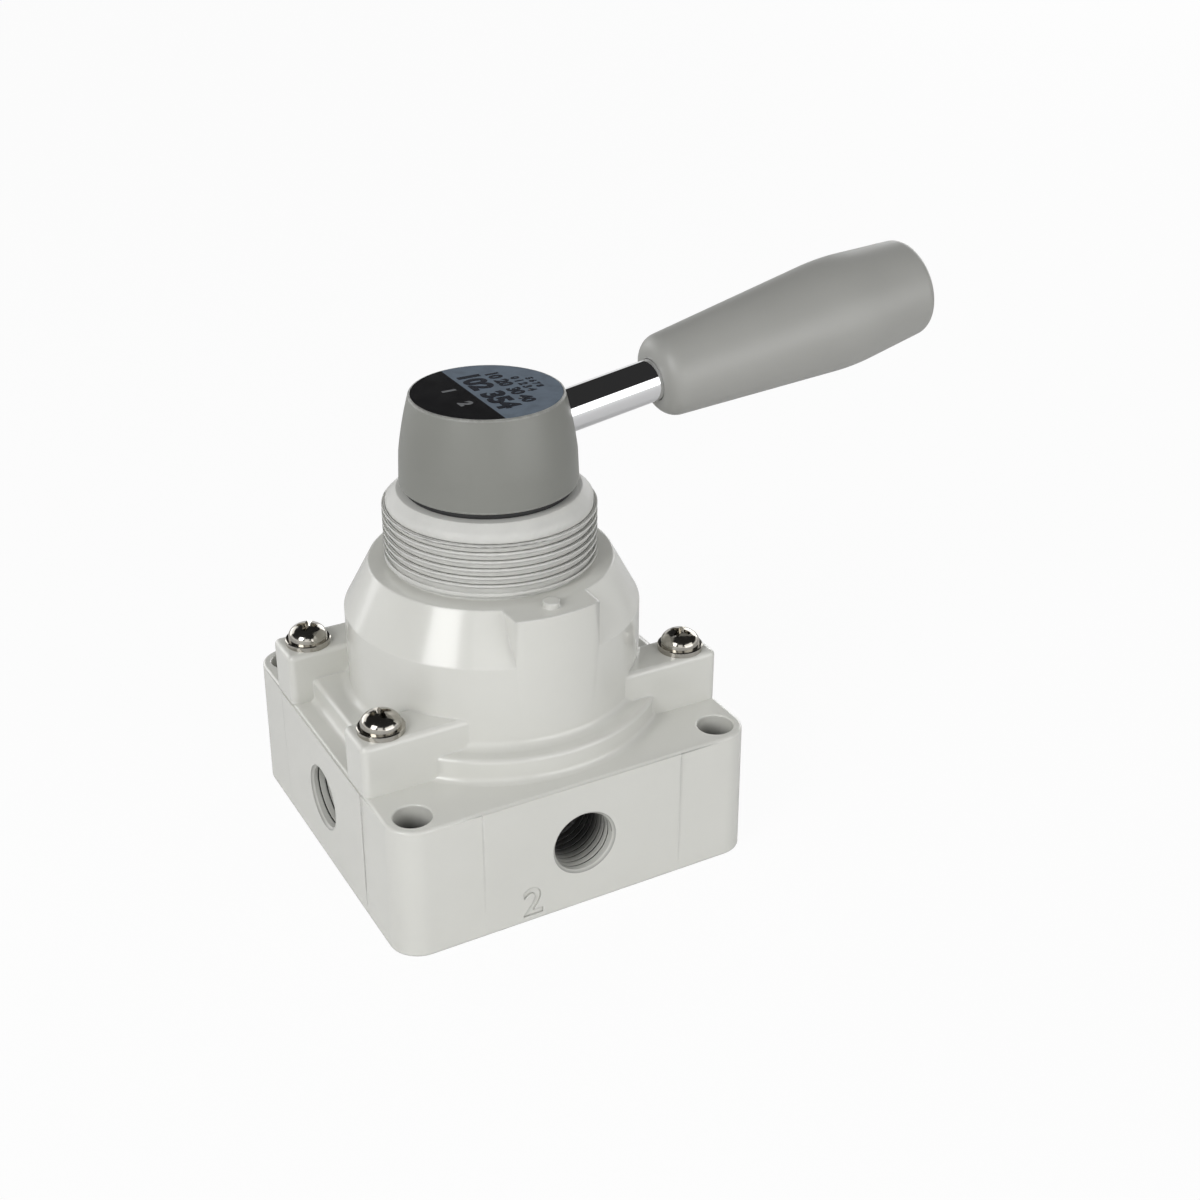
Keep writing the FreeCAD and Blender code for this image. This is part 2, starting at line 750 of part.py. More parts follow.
def make_spindle():
    """The shaft and its drive flange, with the ball pockets and the slot that the stop pin runs in."""
    body = new_body("spindle")
    groove_middle = f"({bush_top} + shaft_seal_above_bush)"
    groove_half = "(shaft_seal_depth / 2 + slip)"
    groove_radius = "(shaft_radius - shaft_seal_depth)"
    pilot_foot = f"({flange_bottom} - pilot_length)"
    turned(body, "blank", [
        ("0", pilot_foot),
        ("pilot_radius", pilot_foot),
        ("pilot_radius", flange_bottom),
        ("flange_radius", flange_bottom),
        ("flange_radius", flange_top),
        ("shaft_radius", flange_top),
        ("shaft_radius", f"{groove_middle} - {groove_half}"),
        (groove_radius, f"{groove_middle} - {groove_half}"),
        (groove_radius, f"{groove_middle} + {groove_half}"),
        ("shaft_radius", f"{groove_middle} + {groove_half}"),
        ("shaft_radius", f"{spindle_top} - shaft_top_chamfer"),
        ("shaft_radius - shaft_top_chamfer", spindle_top),
        ("0", spindle_top),
    ])
    pockets = new_sketch(body, "ball_pockets_outline", rise=f"{flange_bottom} + ball_pocket_floor")
    for way in ("ball_circle", "-ball_circle"):
        draw_circle(pockets, way, "0", "ball_radius + running_gap")
    pocket_up(body, "ball_pockets", pockets)
    slot = new_sketch(body, "stop_slot_outline", rise=f"{flange_top} - stop_slot_depth")
    draw_arc_slot(slot, "ball_circle", "(stop_pin_radius + 2 * running_gap)", "90", "lever_swing")
    pocket_up(body, "stop_slot", slot)
    pins = new_sketch(body, "drive_holes_outline", rise=flange_bottom)
    for row in ("drive_pin_circle", "-drive_pin_circle"):
        draw_circle(pins, "0", row, "drive_pin_radius + slip")
    pocket_up(body, "drive_holes", pins, "drive_pin_reach + slip")
    hole = along_lever(
        cylinder("spindle_lever_hole", "rod_spigot_radius + slip", "rod_spigot_past_axis + 2 * shaft_radius"),
        "-rod_spigot_past_axis - slip",
    )
    keep(cut("spindle", body, [hole]), "spindle")


def make_detent():
    """The detent plate, with a shallow race and a pocket for each ball at each lever position."""
    blank = ring(
        "detent_blank", f"{cavity_radius} - slip", f"{bush_flange_radius} + slip", "detent_plate_thickness",
        z=detent_bottom,
    )
    hollow = "ball_radius + running_gap"
    tools = [torus("ball_race", "ball_circle", hollow, z=ball_rest)]
    for side_of, rest_angle in (("right", "0"), ("left", "180")):
        for step, swing in (("back", "-lever_swing"), ("middle", "0"), ("forward", "lever_swing")):
            way = f"({rest_angle} + {swing})"
            tools.append(sphere(
                f"ball_pocket_{side_of}_{step}", hollow,
                x=f"ball_circle * cos({way})", y=f"ball_circle * sin({way})", z=f"{ball_rest} + ball_travel",
            ))
    tools.append(cylinder(
        "stop_pin_hole", "stop_pin_radius + slip", "detent_plate_thickness + 2 * tool_overrun",
        y="ball_circle", z=f"{detent_bottom} - tool_overrun",
    ))
    keep(cut("detent_plate", blank, tools), "detent_plate")
    pin_foot = f"({flange_top} - stop_slot_depth + running_gap)"
    keep(
        cylinder("stop_pin", "stop_pin_radius", f"{ceiling} + stop_pin_sunk - {pin_foot}", y="ball_circle", z=pin_foot),
        "stop_pin",
    )


def detent_spring(name, x):
    """A short helical spring from the pocket's floor up to the ball, lofted through slices of its wire."""
    coil_radius = number("detent_spring_radius")
    wire_radius = number("detent_wire_radius")
    foot = number(f"{flange_bottom} + ball_pocket_floor") + wire_radius
    under_ball = number(f"{ball_rest} - sqrt(ball_radius * ball_radius - detent_spring_radius * detent_spring_radius)")
    height = under_ball - 2 * wire_radius - foot
    slices_a_turn = int(number("detent_spring_slices"))
    wire_sides = int(number("detent_wire_sides"))
    last = slices_a_turn * int(number("detent_spring_turns"))
    slices = []
    for step in range(last + 1):
        angle = 2 * math.pi * step / slices_a_turn
        outward = Vector(math.cos(angle), math.sin(angle), 0)
        along = Vector(-math.sin(angle), math.cos(angle), 0) * coil_radius
        along.z = height * slices_a_turn / last / (2 * math.pi)
        upward = outward.cross(along).normalize()
        middle = outward * coil_radius + Vector(0, 0, height * step / last)
        rim = []
        for side_step in range(wire_sides):
            turn = 2 * math.pi * side_step / wire_sides
            rim.append(middle + (outward * math.cos(turn) + upward * math.sin(turn)) * wire_radius)
        slices.append(Part.makePolygon(rim + rim[:1]))
    coil = doc.addObject("Part::Feature", name)
    coil.Shape = Part.makeLoft(slices, True, True)
    coil.Placement.Base = Vector(number(x), 0, foot)
    return coil


def make_balls():
    for name, way in (("right", "ball_circle"), ("left", "-ball_circle")):
        keep(sphere(f"detent_ball_{name}", "ball_radius", x=way, z=ball_rest), f"detent_ball_{name}")
        keep(detent_spring(f"detent_spring_{name}", way), f"detent_spring_{name}")


def along_lever(item, start):
    """Lay a piece that was made upright along the lever, from a distance out along its axis."""
    place(
        item, x=f"({start}) * cos(lever_tilt)", z=f"{knob_foot} + lever_above_knob_foot + ({start}) * sin(lever_tilt)",
        axis="0; 1; 0", angle="90 - lever_tilt",
    )
    return item


def make_knob():
    """The grey knob that caps the spindle, the label plate let into its top and the seal below it."""
    body = new_body("knob")
    top = f"({knob_foot} + knob_height)"
    turned(body, "blank", [
        ("shaft_radius + slip", knob_foot),
        ("knob_bottom_radius - knob_edge", knob_foot, "knob_edge"),
        ("knob_bottom_radius", f"{knob_foot} + knob_edge"),
        ("knob_waist_radius", f"{knob_foot} + knob_waist_height", "knob_side_curve"),
        ("knob_top_radius", f"{top} - knob_edge", "knob_edge"),
        ("knob_top_radius - knob_edge", top),
        ("label_radius + slip", top),
        ("label_radius + slip", f"{top} - label_thickness"),
        ("0", f"{top} - label_thickness"),
        ("0", f"{spindle_top} + slip"),
        ("shaft_radius + slip", f"{spindle_top} + slip"),
    ])
    hole = along_lever(cylinder("knob_lever_hole", "rod_radius + slip", "2 * knob_bottom_radius"), "0")
    keep(cut("knob", body, [hole]), "knob")
    keep(cylinder("label_plate", "label_radius", "label_thickness", z=f"{top} - label_thickness"), "label_plate")

    seal = new_body("dust_seal")
    turned(seal, "lip", [
        ("shaft_radius + running_gap", land_top),
        ("dust_seal_bore_radius - slip", land_top),
        ("dust_seal_bore_radius - slip", neck_top),
        ("dust_seal_radius", neck_top),
        ("dust_seal_radius", f"{knob_foot} - running_gap"),
        ("shaft_radius + running_gap", f"{knob_foot} - running_gap"),
    ])
    keep(seal, "dust_seal")


def make_lever():
    """The rod with its thin threaded end in the spindle, and the grip pushed over the other end."""
    shoulder_at = "(shaft_radius + rod_shoulder_clear)"
    spigot = along_lever(
        cylinder("rod_spigot", "rod_spigot_radius", f"rod_spigot_past_axis + {shoulder_at}"), "-rod_spigot_past_axis"
    )
    rod_end = "(grip_start + rod_in_grip)"
    bar = along_lever(cylinder("rod_bar", "rod_radius", f"{rod_end} - {shoulder_at}"), shoulder_at)
    keep(fuse("lever_rod", [spigot, bar]), "lever_rod")

    body = new_body("grip")
    neck_slope = "((grip_swell_radius - grip_neck_radius) / grip_swell_at)"
    end_slope = "((grip_swell_radius - grip_end_radius) / (grip_length - grip_swell_at))"
    swell_curve = f"(grip_swell_blend / tan((atan({neck_slope}) + atan({end_slope})) / 2))"
    turned(body, "grip", [
        ("rod_radius + slip", "0"),
        ("grip_neck_radius - grip_neck_edge", "0", "grip_neck_edge"),
        ("grip_neck_radius", "grip_neck_edge"),
        (f"grip_swell_radius - {neck_slope} * grip_swell_blend", "grip_swell_at - grip_swell_blend", swell_curve),
        (f"grip_swell_radius - {end_slope} * grip_swell_blend", "grip_swell_at + grip_swell_blend"),
        ("grip_end_radius", "grip_length - grip_end_edge", "grip_end_edge"),
        ("grip_end_radius - grip_end_edge", "grip_length"),
        ("0", "grip_length"),
        ("0", "rod_in_grip + slip"),
        ("rod_radius + slip", "rod_in_grip + slip"),
    ])
    along_lever(body, "grip_start")
    keep(body, "lever_grip")


make_housing()
make_seat()
make_cover()
make_cover_screws()
make_bearing()
make_disc()
make_disc_spring()
make_spindle()
make_detent()
make_balls()
make_knob()
make_lever()
doc.recompute()

for item in doc.Objects:
    if "Invalid" in item.State or "Error" in item.State:
        raise RuntimeError(f"{item.Label} failed to build")
for item in nodes:
    if item.Shape.isNull() or not item.Shape.isValid() or not item.Shape.Solids:
        raise RuntimeError(f"{item.Label} has no sound shape")
for item in nodes:
    item.Shape.exportStep(f"parts/{item.Label}.step")
    box_of = item.Shape.BoundBox
    print(
        f"{item.Label}: {len(item.Shape.Solids)} solids, {item.Shape.Volume:.0f} mm3, "
        f"z {box_of.ZMin:.2f} to {box_of.ZMax:.2f}"
    )
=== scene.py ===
import math

import bmesh
import bpy
from mathutils import Matrix, Quaternion, Vector


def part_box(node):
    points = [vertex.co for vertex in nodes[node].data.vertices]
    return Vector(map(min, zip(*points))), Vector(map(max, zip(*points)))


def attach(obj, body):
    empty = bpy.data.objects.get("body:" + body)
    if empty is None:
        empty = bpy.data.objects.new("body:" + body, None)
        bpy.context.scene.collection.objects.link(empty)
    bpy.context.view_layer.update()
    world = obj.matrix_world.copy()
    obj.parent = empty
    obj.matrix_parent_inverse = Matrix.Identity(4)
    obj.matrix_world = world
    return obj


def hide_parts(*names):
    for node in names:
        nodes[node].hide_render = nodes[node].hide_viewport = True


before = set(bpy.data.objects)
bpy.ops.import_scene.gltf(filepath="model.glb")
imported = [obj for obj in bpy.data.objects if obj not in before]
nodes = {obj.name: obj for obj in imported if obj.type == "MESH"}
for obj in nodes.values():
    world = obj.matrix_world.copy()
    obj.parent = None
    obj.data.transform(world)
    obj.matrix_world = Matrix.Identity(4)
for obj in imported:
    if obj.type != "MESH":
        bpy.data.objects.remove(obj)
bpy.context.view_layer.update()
scene = bpy.context.scene
scene.view_settings.view_transform = "Standard"


# The camera looks down on the housing's front left corner, as in the photograph, with a slight tilt.
camera_place = Vector((-0.11423, -0.24203, 0.18479))
camera_aim = Vector((0.01638, -0.01075, 0.04532))
camera_roll = math.radians(0.369)

camera = bpy.data.objects.new("photo_camera", bpy.data.cameras.new("photo_camera"))
scene.collection.objects.link(camera)
camera.data.lens = 49.755
camera.data.sensor_width = 36
camera.data.clip_start = 0.01
facing = (camera_aim - camera_place).to_track_quat("-Z", "Y")
camera.matrix_world = Matrix.LocRotScale(
    camera_place, facing @ Quaternion((0, 0, 1), camera_roll), None
)
scene.camera = camera


# Housing: an aluminium die casting with four ports, cut and tapped after it is painted.
# The block is enamelled off-white, semi gloss, with the faint orange peel of sprayed paint.
# Its threads are bare metal past a painted mouth, darkened towards black with depth as painted shade. A port
# number is stamped low on the left of its front face.
side, _, housing_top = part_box("housing")[1]
port_height = 0.0128
port_minor = 0.00572
port_major = 0.00658
port_pitch = 0.001337
port_thread_start = side - 0.0007
port_thread_length = 0.011
port_groove_spare = 0.0001
port_groove_root = 0.00015
port_groove_share = 0.93
mount_hole_pitch = 0.0595
mount_hole_radius = 0.0033


def make_edge_wear_and_highlight():
    """Group: a mask that is white on outer and inner edges, broken up by noise, and a rounded normal."""
    group = bpy.data.node_groups.new("edge_wear_and_highlight", "ShaderNodeTree")
    sockets = group.interface
    for name, value in (("Width", 0.0003), ("Break Up", 900.0)):
        sockets.new_socket(name, in_out="INPUT", socket_type="NodeSocketFloat").default_value = value
    sockets.new_socket("Edge", in_out="OUTPUT", socket_type="NodeSocketFloat")
    sockets.new_socket("Normal", in_out="OUTPUT", socket_type="NodeSocketVector")
    given = group.nodes.new("NodeGroupInput")
    result = group.nodes.new("NodeGroupOutput")
    bevel = group.nodes.new("ShaderNodeBevel")
    bevel.samples = 6
    surface = group.nodes.new("ShaderNodeNewGeometry")
    turned = group.nodes.new("ShaderNodeVectorMath")
    turned.operation = "DOT_PRODUCT"
    spread = group.nodes.new("ShaderNodeMapRange")
    spread.inputs["From Min"].default_value = 1.0
    spread.inputs["From Max"].default_value = 0.9
    place = group.nodes.new("ShaderNodeTexCoord")
    noise = group.nodes.new("ShaderNodeTexNoise")
    noise.inputs["Detail"].default_value = 4.0
    broken = group.nodes.new("ShaderNodeMapRange")
    broken.inputs["From Min"].default_value = 0.4
    broken.inputs["From Max"].default_value = 0.62
    broken.inputs["To Min"].default_value = 0.4
    both = group.nodes.new("ShaderNodeMath")
    both.operation = "MULTIPLY"
    both.use_clamp = True
    link = group.links.new
    link(given.outputs["Width"], bevel.inputs["Radius"])
    link(bevel.outputs["Normal"], turned.inputs[0])
    link(surface.outputs["Normal"], turned.inputs[1])
    link(turned.outputs["Value"], spread.inputs["Value"])
    link(place.outputs["Object"], noise.inputs["Vector"])
    link(given.outputs["Break Up"], noise.inputs["Scale"])
    link(noise.outputs["Fac"], broken.inputs["Value"])
    link(spread.outputs["Result"], both.inputs[0])
    link(broken.outputs["Result"], both.inputs[1])
    link(both.outputs["Value"], result.inputs["Edge"])
    link(bevel.outputs["Normal"], result.inputs["Normal"])
    return group


edge_wear_and_highlight = make_edge_wear_and_highlight()


def make_grain():
    """Group: fine grain at one size over a soft mottle at a larger one, as a height, and the mottle alone."""
    group = bpy.data.node_groups.new("surface_grain", "ShaderNodeTree")
    sockets = group.interface
    for name, value in (("Grain Scale", 1500.0), ("Mottle Scale", 60.0), ("Mottle Share", 0.3)):
        sockets.new_socket(name, in_out="INPUT", socket_type="NodeSocketFloat").default_value = value
    sockets.new_socket("Height", in_out="OUTPUT", socket_type="NodeSocketFloat")
    sockets.new_socket("Mottle", in_out="OUTPUT", socket_type="NodeSocketFloat")
    given = group.nodes.new("NodeGroupInput")
    result = group.nodes.new("NodeGroupOutput")
    place = group.nodes.new("ShaderNodeTexCoord")
    grain = group.nodes.new("ShaderNodeTexNoise")
    grain.inputs["Detail"].default_value = 3.0
    mottle = group.nodes.new("ShaderNodeTexNoise")
    mottle.inputs["Detail"].default_value = 5.0
    mottle.inputs["Roughness"].default_value = 0.6
    mixed = group.nodes.new("ShaderNodeMix")
    link = group.links.new
    link(place.outputs["Object"], grain.inputs["Vector"])
    link(place.outputs["Object"], mottle.inputs["Vector"])
    link(given.outputs["Grain Scale"], grain.inputs["Scale"])
    link(given.outputs["Mottle Scale"], mottle.inputs["Scale"])
    link(given.outputs["Mottle Share"], mixed.inputs["Factor"])
    link(grain.outputs["Fac"], mixed.inputs["A"])
    link(mottle.outputs["Fac"], mixed.inputs["B"])
    link(mixed.outputs["Result"], result.inputs["Height"])
    link(mottle.outputs["Fac"], result.inputs["Mottle"])
    return group


surface_grain = make_grain()


def finish_material(name, colour, dark, rough, metallic=0.0, edge=None, edge_width=0.0003, grain=1500.0,
                    mottle=60.0, mottle_share=0.3, bump=0.05, bump_depth=0.0001, coat=0.0):
    """A surface with grain, soft mottling in colour and roughness, rounded edges and a paler colour along
    them.

    colour and dark are the two ends of the mottle, rough is its low and high roughness, and edge is the
    colour that shows along the edges: a painted highlight on the enamel and the knob, and edge wear on the
    others.
    """
    material = bpy.data.materials.new(name)
    material.use_nodes = True
    tree = material.node_tree
    shader = tree.nodes["Principled BSDF"]
    shader.inputs["Metallic"].default_value = metallic
    shader.inputs["Coat Weight"].default_value = coat
    shader.inputs["Coat Roughness"].default_value = 0.12
    link = tree.links.new
    texture = tree.nodes.new("ShaderNodeGroup")
    texture.node_tree = surface_grain
    texture.inputs["Grain Scale"].default_value = grain
    texture.inputs["Mottle Scale"].default_value = mottle
    texture.inputs["Mottle Share"].default_value = mottle_share
    tint = tree.nodes.new("ShaderNodeValToRGB")
    tint.color_ramp.elements[0].position = 0.15
    tint.color_ramp.elements[0].color = (*dark, 1)
    tint.color_ramp.elements[1].position = 0.85
    tint.color_ramp.elements[1].color = (*colour, 1)
    polish = tree.nodes.new("ShaderNodeMapRange")
    polish.inputs["From Min"].default_value = 0.15
    polish.inputs["From Max"].default_value = 0.85
    polish.inputs["To Min"].default_value = rough[0]
    polish.inputs["To Max"].default_value = rough[1]
    relief = tree.nodes.new("ShaderNodeBump")
    relief.inputs["Strength"].default_value = bump
    relief.inputs["Distance"].default_value = bump_depth
    link(texture.outputs["Mottle"], tint.inputs["Fac"])
    link(tint.outputs["Color"], shader.inputs["Base Color"])
    link(texture.outputs["Mottle"], polish.inputs["Value"])
    link(polish.outputs["Result"], shader.inputs["Roughness"])
    link(texture.outputs["Height"], relief.inputs["Height"])
    link(relief.outputs["Normal"], shader.inputs["Normal"])
    if edge:
        wear_and_highlight = tree.nodes.new("ShaderNodeGroup")
        wear_and_highlight.node_tree = edge_wear_and_highlight
        wear_and_highlight.inputs["Width"].default_value = edge_width
        second_tone = tree.nodes.new("ShaderNodeMix")
        second_tone.data_type = "RGBA"
        second_tone.inputs["B"].default_value = (*edge, 1)
        link(wear_and_highlight.outputs["Edge"], second_tone.inputs["Factor"])
        link(tint.outputs["Color"], second_tone.inputs["A"])
        link(second_tone.outputs["Result"], shader.inputs["Base Color"])
        link(wear_and_highlight.outputs["Normal"], relief.inputs["Normal"])
    return material


# The enamel's paler edge colour is a painted highlight where its edges catch the light.
enamel_edge_width = 0.0006
joint_reach = 0.0013
enamel = finish_material(
    "off_white_enamel", (0.705, 0.705, 0.665), (0.665, 0.665, 0.625), (0.19, 0.265), edge=(0.76, 0.76, 0.73),
    edge_width=enamel_edge_width, grain=900, mottle=45, mottle_share=0.25, bump=0.12, bump_depth=0.00006,
    coat=0.4,
)


def keep_joint_crisp(material, height, reach, width):
    """Narrow the rounded edges and their painted highlight to nothing towards the height at which two
    castings meet.
    """
    tree = material.node_tree
    wear_and_highlight = next(node for node in tree.nodes if node.type == "GROUP" and node.node_tree == edge_wear_and_highlight)
    place = tree.nodes.new("ShaderNodeTexCoord")
    apart = tree.nodes.new("ShaderNodeSeparateXYZ")
    above = tree.nodes.new("ShaderNodeMath")
    above.operation = "SUBTRACT"
    above.inputs[1].default_value = height
    away = tree.nodes.new("ShaderNodeMath")
    away.operation = "ABSOLUTE"
    narrowed = tree.nodes.new("ShaderNodeMapRange")
    narrowed.inputs["From Min"].default_value = reach / 3
    narrowed.inputs["From Max"].default_value = reach
    narrowed.inputs["To Max"].default_value = width
    link = tree.links.new
    link(place.outputs["Object"], apart.inputs["Vector"])
    link(apart.outputs["Z"], above.inputs[0])
    link(above.outputs["Value"], away.inputs[0])
    link(away.outputs["Value"], narrowed.inputs["Value"])
    link(narrowed.outputs["Result"], wear_and_highlight.inputs["Width"])


keep_joint_crisp(enamel, housing_top, joint_reach, enamel_edge_width)


def make_bore_material(name, from_side, paint_reach, dark_below):
    """Painted at the mouth of a hole, and further in bare metal darkened to near black as painted shade of
    the hole's depth, by the depth below the housing's faces.

    from_side is true for the ports, whose depth is measured from the sides instead of the top. The paint is
    whole down to paint_reach and gone at dark_below.
    """
    # The near-black colour is painted shade of the hole's depth; the real paint shows only near the mouth.
    material = finish_material(
        name, (0.09, 0.09, 0.088), (0.05, 0.05, 0.049), (0.3, 0.42), edge=(0.2, 0.2, 0.195),
        edge_width=0.0002, grain=2500, mottle=300, bump=0.15, bump_depth=0.00004,
    )
    tree = material.node_tree
    link = tree.links.new
    shader = tree.nodes["Principled BSDF"]
    dark_metal_and_shade = shader.inputs["Base Color"].links[0].from_socket
    place = tree.nodes.new("ShaderNodeTexCoord")
    apart = tree.nodes.new("ShaderNodeSeparateXYZ")
    link(place.outputs["Object"], apart.inputs["Vector"])

    def reckon(operation, first, second=None):
        node = tree.nodes.new("ShaderNodeMath")
        node.operation = operation
        link(first, node.inputs[0])
        if isinstance(second, float):
            node.inputs[1].default_value = second
        elif second:
            link(second, node.inputs[1])
        return node.outputs["Value"]

    across_x = reckon("ABSOLUTE", apart.outputs["X"])
    across_y = reckon("ABSOLUTE", apart.outputs["Y"])
    depth = tree.nodes.new("ShaderNodeMapRange")
    depth.interpolation_type = "SMOOTHSTEP"
    mouth = side if from_side else housing_top
    depth.inputs["From Min"].default_value = mouth - dark_below
    depth.inputs["From Max"].default_value = mouth - paint_reach
    depth.inputs["To Max"].default_value = 0.95
    link(reckon("MAXIMUM", across_x, across_y) if from_side else apart.outputs["Z"], depth.inputs["Value"])
    painted = tree.nodes.new("ShaderNodeMix")
    painted.data_type = "RGBA"
    painted.inputs["B"].default_value = (0.66, 0.66, 0.62, 1)
    link(depth.outputs["Result"], painted.inputs["Factor"])
    link(dark_metal_and_shade, painted.inputs["A"])
    link(painted.outputs["Result"], shader.inputs["Base Color"])
    if from_side:
        # Painted shade: the thread's grooves darken to near black by their depth below the crests.
        off_axis = reckon("MINIMUM", across_x, across_y)
        off_height = reckon("SUBTRACT", apart.outputs["Z"], port_height)
        across_squared = reckon("POWER", off_axis, 2.0)
        up_squared = reckon("POWER", reckon("ABSOLUTE", off_height), 2.0)
        squared = reckon("ADD", across_squared, up_squared)
        groove = tree.nodes.new("ShaderNodeMapRange")
        groove.inputs["From Min"].default_value = port_minor
        groove.inputs["From Max"].default_value = port_major
        groove.inputs["To Max"].default_value = 0.93
        link(reckon("SQRT", squared), groove.inputs["Value"])
        groove_shade = tree.nodes.new("ShaderNodeMix")
        groove_shade.data_type = "RGBA"
        groove_shade.inputs["B"].default_value = (0.012, 0.012, 0.012, 1)
        link(groove.outputs["Result"], groove_shade.inputs["Factor"])
        link(painted.outputs["Result"], groove_shade.inputs["A"])
        link(groove_shade.outputs["Result"], shader.inputs["Base Color"])
    return material


# Both bores darken with depth as painted shade, and the ports' thread grooves also carry painted shade.
bare_thread_and_shade = make_bore_material("tapped_bore", from_side=True, paint_reach=0.0016, dark_below=0.0078)
bare_hole_and_shade = make_bore_material("drilled_bore", from_side=False, paint_reach=0.001, dark_below=0.0065)


def make_thread_tree():
    """Geometry nodes: the helical groove of a thread, swept along a spiral, with a flat tip."""
    tree = bpy.data.node_groups.new("thread_groove", "GeometryNodeTree")
    sizes = (
        ("Radius", 0.019), ("Depth", 0.001), ("Outer Width", 0.0014), ("Inner Width", 0.0002),
        ("Pitch", 0.0015), ("Turns", 6.0),
    )
    for name, value in sizes:
        tree.interface.new_socket(name, in_out="INPUT", socket_type="NodeSocketFloat").default_value = value
    tree.interface.new_socket("Finish", in_out="INPUT", socket_type="NodeSocketMaterial")
    tree.interface.new_socket("Mesh", in_out="OUTPUT", socket_type="NodeSocketGeometry")
    given = tree.nodes.new("NodeGroupInput")
    result = tree.nodes.new("NodeGroupOutput")
    rise = tree.nodes.new("ShaderNodeMath")
    rise.operation = "MULTIPLY"
    spiral = tree.nodes.new("GeometryNodeCurveSpiral")
    spiral.inputs["Resolution"].default_value = 72
    upright = tree.nodes.new("GeometryNodeSetCurveNormal")
    upright.mode = "Z_UP"
    section = tree.nodes.new("GeometryNodeCurvePrimitiveQuadrilateral")
    section.mode = "TRAPEZOID"
    section.inputs["Offset"].default_value = 0.0
    sideways = tree.nodes.new("GeometryNodeTransform")
    sideways.inputs["Rotation"].default_value = (0, 0, math.radians(90))
    sweep = tree.nodes.new("GeometryNodeCurveToMesh")
    sweep.inputs["Fill Caps"].default_value = True
    real = tree.nodes.new("GeometryNodeRealizeInstances")
    finish = tree.nodes.new("GeometryNodeSetMaterial")
    link = tree.links.new
    link(given.outputs["Pitch"], rise.inputs[0])
    link(given.outputs["Turns"], rise.inputs[1])
    link(rise.outputs["Value"], spiral.inputs["Height"])
    link(given.outputs["Turns"], spiral.inputs["Rotations"])
    link(given.outputs["Radius"], spiral.inputs["Start Radius"])
    link(given.outputs["Radius"], spiral.inputs["End Radius"])
    link(given.outputs["Outer Width"], section.inputs["Bottom Width"])
    link(given.outputs["Inner Width"], section.inputs["Top Width"])
    link(given.outputs["Depth"], section.inputs["Height"])
    link(section.outputs["Curve"], sideways.inputs["Geometry"])
    link(spiral.outputs["Curve"], upright.inputs["Curve"])
    link(upright.outputs["Curve"], sweep.inputs["Curve"])
    link(sideways.outputs["Geometry"], sweep.inputs["Profile Curve"])
    link(sweep.outputs["Mesh"], real.inputs["Geometry"])
    link(real.outputs["Geometry"], finish.inputs["Geometry"])
    link(given.outputs["Finish"], finish.inputs["Material"])
    link(finish.outputs["Geometry"], result.inputs["Mesh"])
    return tree


thread_groove = make_thread_tree()


def grown_mesh(name, tree, **sizes):
    """Run a geometry tree with its named inputs set, and return the plain mesh that it makes."""
    holder = bpy.data.objects.new(name, bpy.data.meshes.new(name))
    scene.collection.objects.link(holder)
    growth = holder.modifiers.new(name, "NODES")
    growth.node_group = tree
    identifiers = {item.name: item.identifier for item in tree.interface.items_tree if item.in_out == "INPUT"}
    for label, value in sizes.items():
        growth[identifiers[label.replace("_", " ").title()]] = value
    graph = bpy.context.evaluated_depsgraph_get()
    mesh = bpy.data.meshes.new_from_object(holder.evaluated_get(graph))
    bpy.data.objects.remove(holder)
    return mesh


def new_piece(name, mesh):
    """Put a mesh into the scene as an object at the origin."""
    piece = bpy.data.objects.new(name, mesh)
    scene.collection.objects.link(piece)
    return piece


def join_flat_faces(shape, flatness=0.05):
    """Dissolve the edges between faces that lie in one plane, to within the flatness in degrees."""
    bmesh.ops.dissolve_limit(
        shape, angle_limit=math.radians(flatness), use_dissolve_boundaries=False,
        verts=shape.verts, edges=shape.edges,
    )


def merged_copy(node, name, weld=1e-6):
    """A copy of a solid's mesh with its loose triangles joined up, where corners are within the weld."""
    mesh = nodes[node].data.copy()
    mesh.materials.clear()
    shape = bmesh.new()
    shape.from_mesh(mesh)
    bmesh.ops.remove_doubles(shape, verts=shape.verts, dist=weld)
    bmesh.ops.recalc_face_normals(shape, faces=shape.faces)
    join_flat_faces(shape)
    shape.to_mesh(mesh)
    shape.free()
    return new_piece(name, mesh)


def carve(piece, cutters):
    """Cut closed meshes out of a piece, and remove them."""
    for cutter in cutters:
        cutting = piece.modifiers.new("cut", "BOOLEAN")
        cutting.operation = "DIFFERENCE"
        cutting.solver = "EXACT"
        cutting.object = cutter
    graph = bpy.context.evaluated_depsgraph_get()
    carved = bpy.data.meshes.new_from_object(piece.evaluated_get(graph))
    piece.modifiers.clear()
    piece.data = carved
    for cutter in cutters:
        bpy.data.objects.remove(cutter)


def smooth(piece, limit=22):
    """Smooth shading, with a crease where faces meet at more than the limit in degrees."""
    shape = bmesh.new()
    shape.from_mesh(piece.data)
    join_flat_faces(shape)
    shape.to_mesh(piece.data)
    shape.free()
    piece.data.shade_smooth()
    piece.data.set_sharp_from_angle(angle=math.radians(limit))
    weighting = piece.modifiers.new("flat_faces_stay_flat", "WEIGHTED_NORMAL")
    weighting.keep_sharp = True
    weighting.weight = 100
    graph = bpy.context.evaluated_depsgraph_get()
    piece.data = bpy.data.meshes.new_from_object(piece.evaluated_get(graph))
    piece.modifiers.clear()


def straight_up(mesh):
    """Turn a mesh's faces to point outwards."""
    shape = bmesh.new()
    shape.from_mesh(mesh)
    bmesh.ops.recalc_face_normals(shape, faces=shape.faces)
    shape.to_mesh(mesh)
    shape.free()


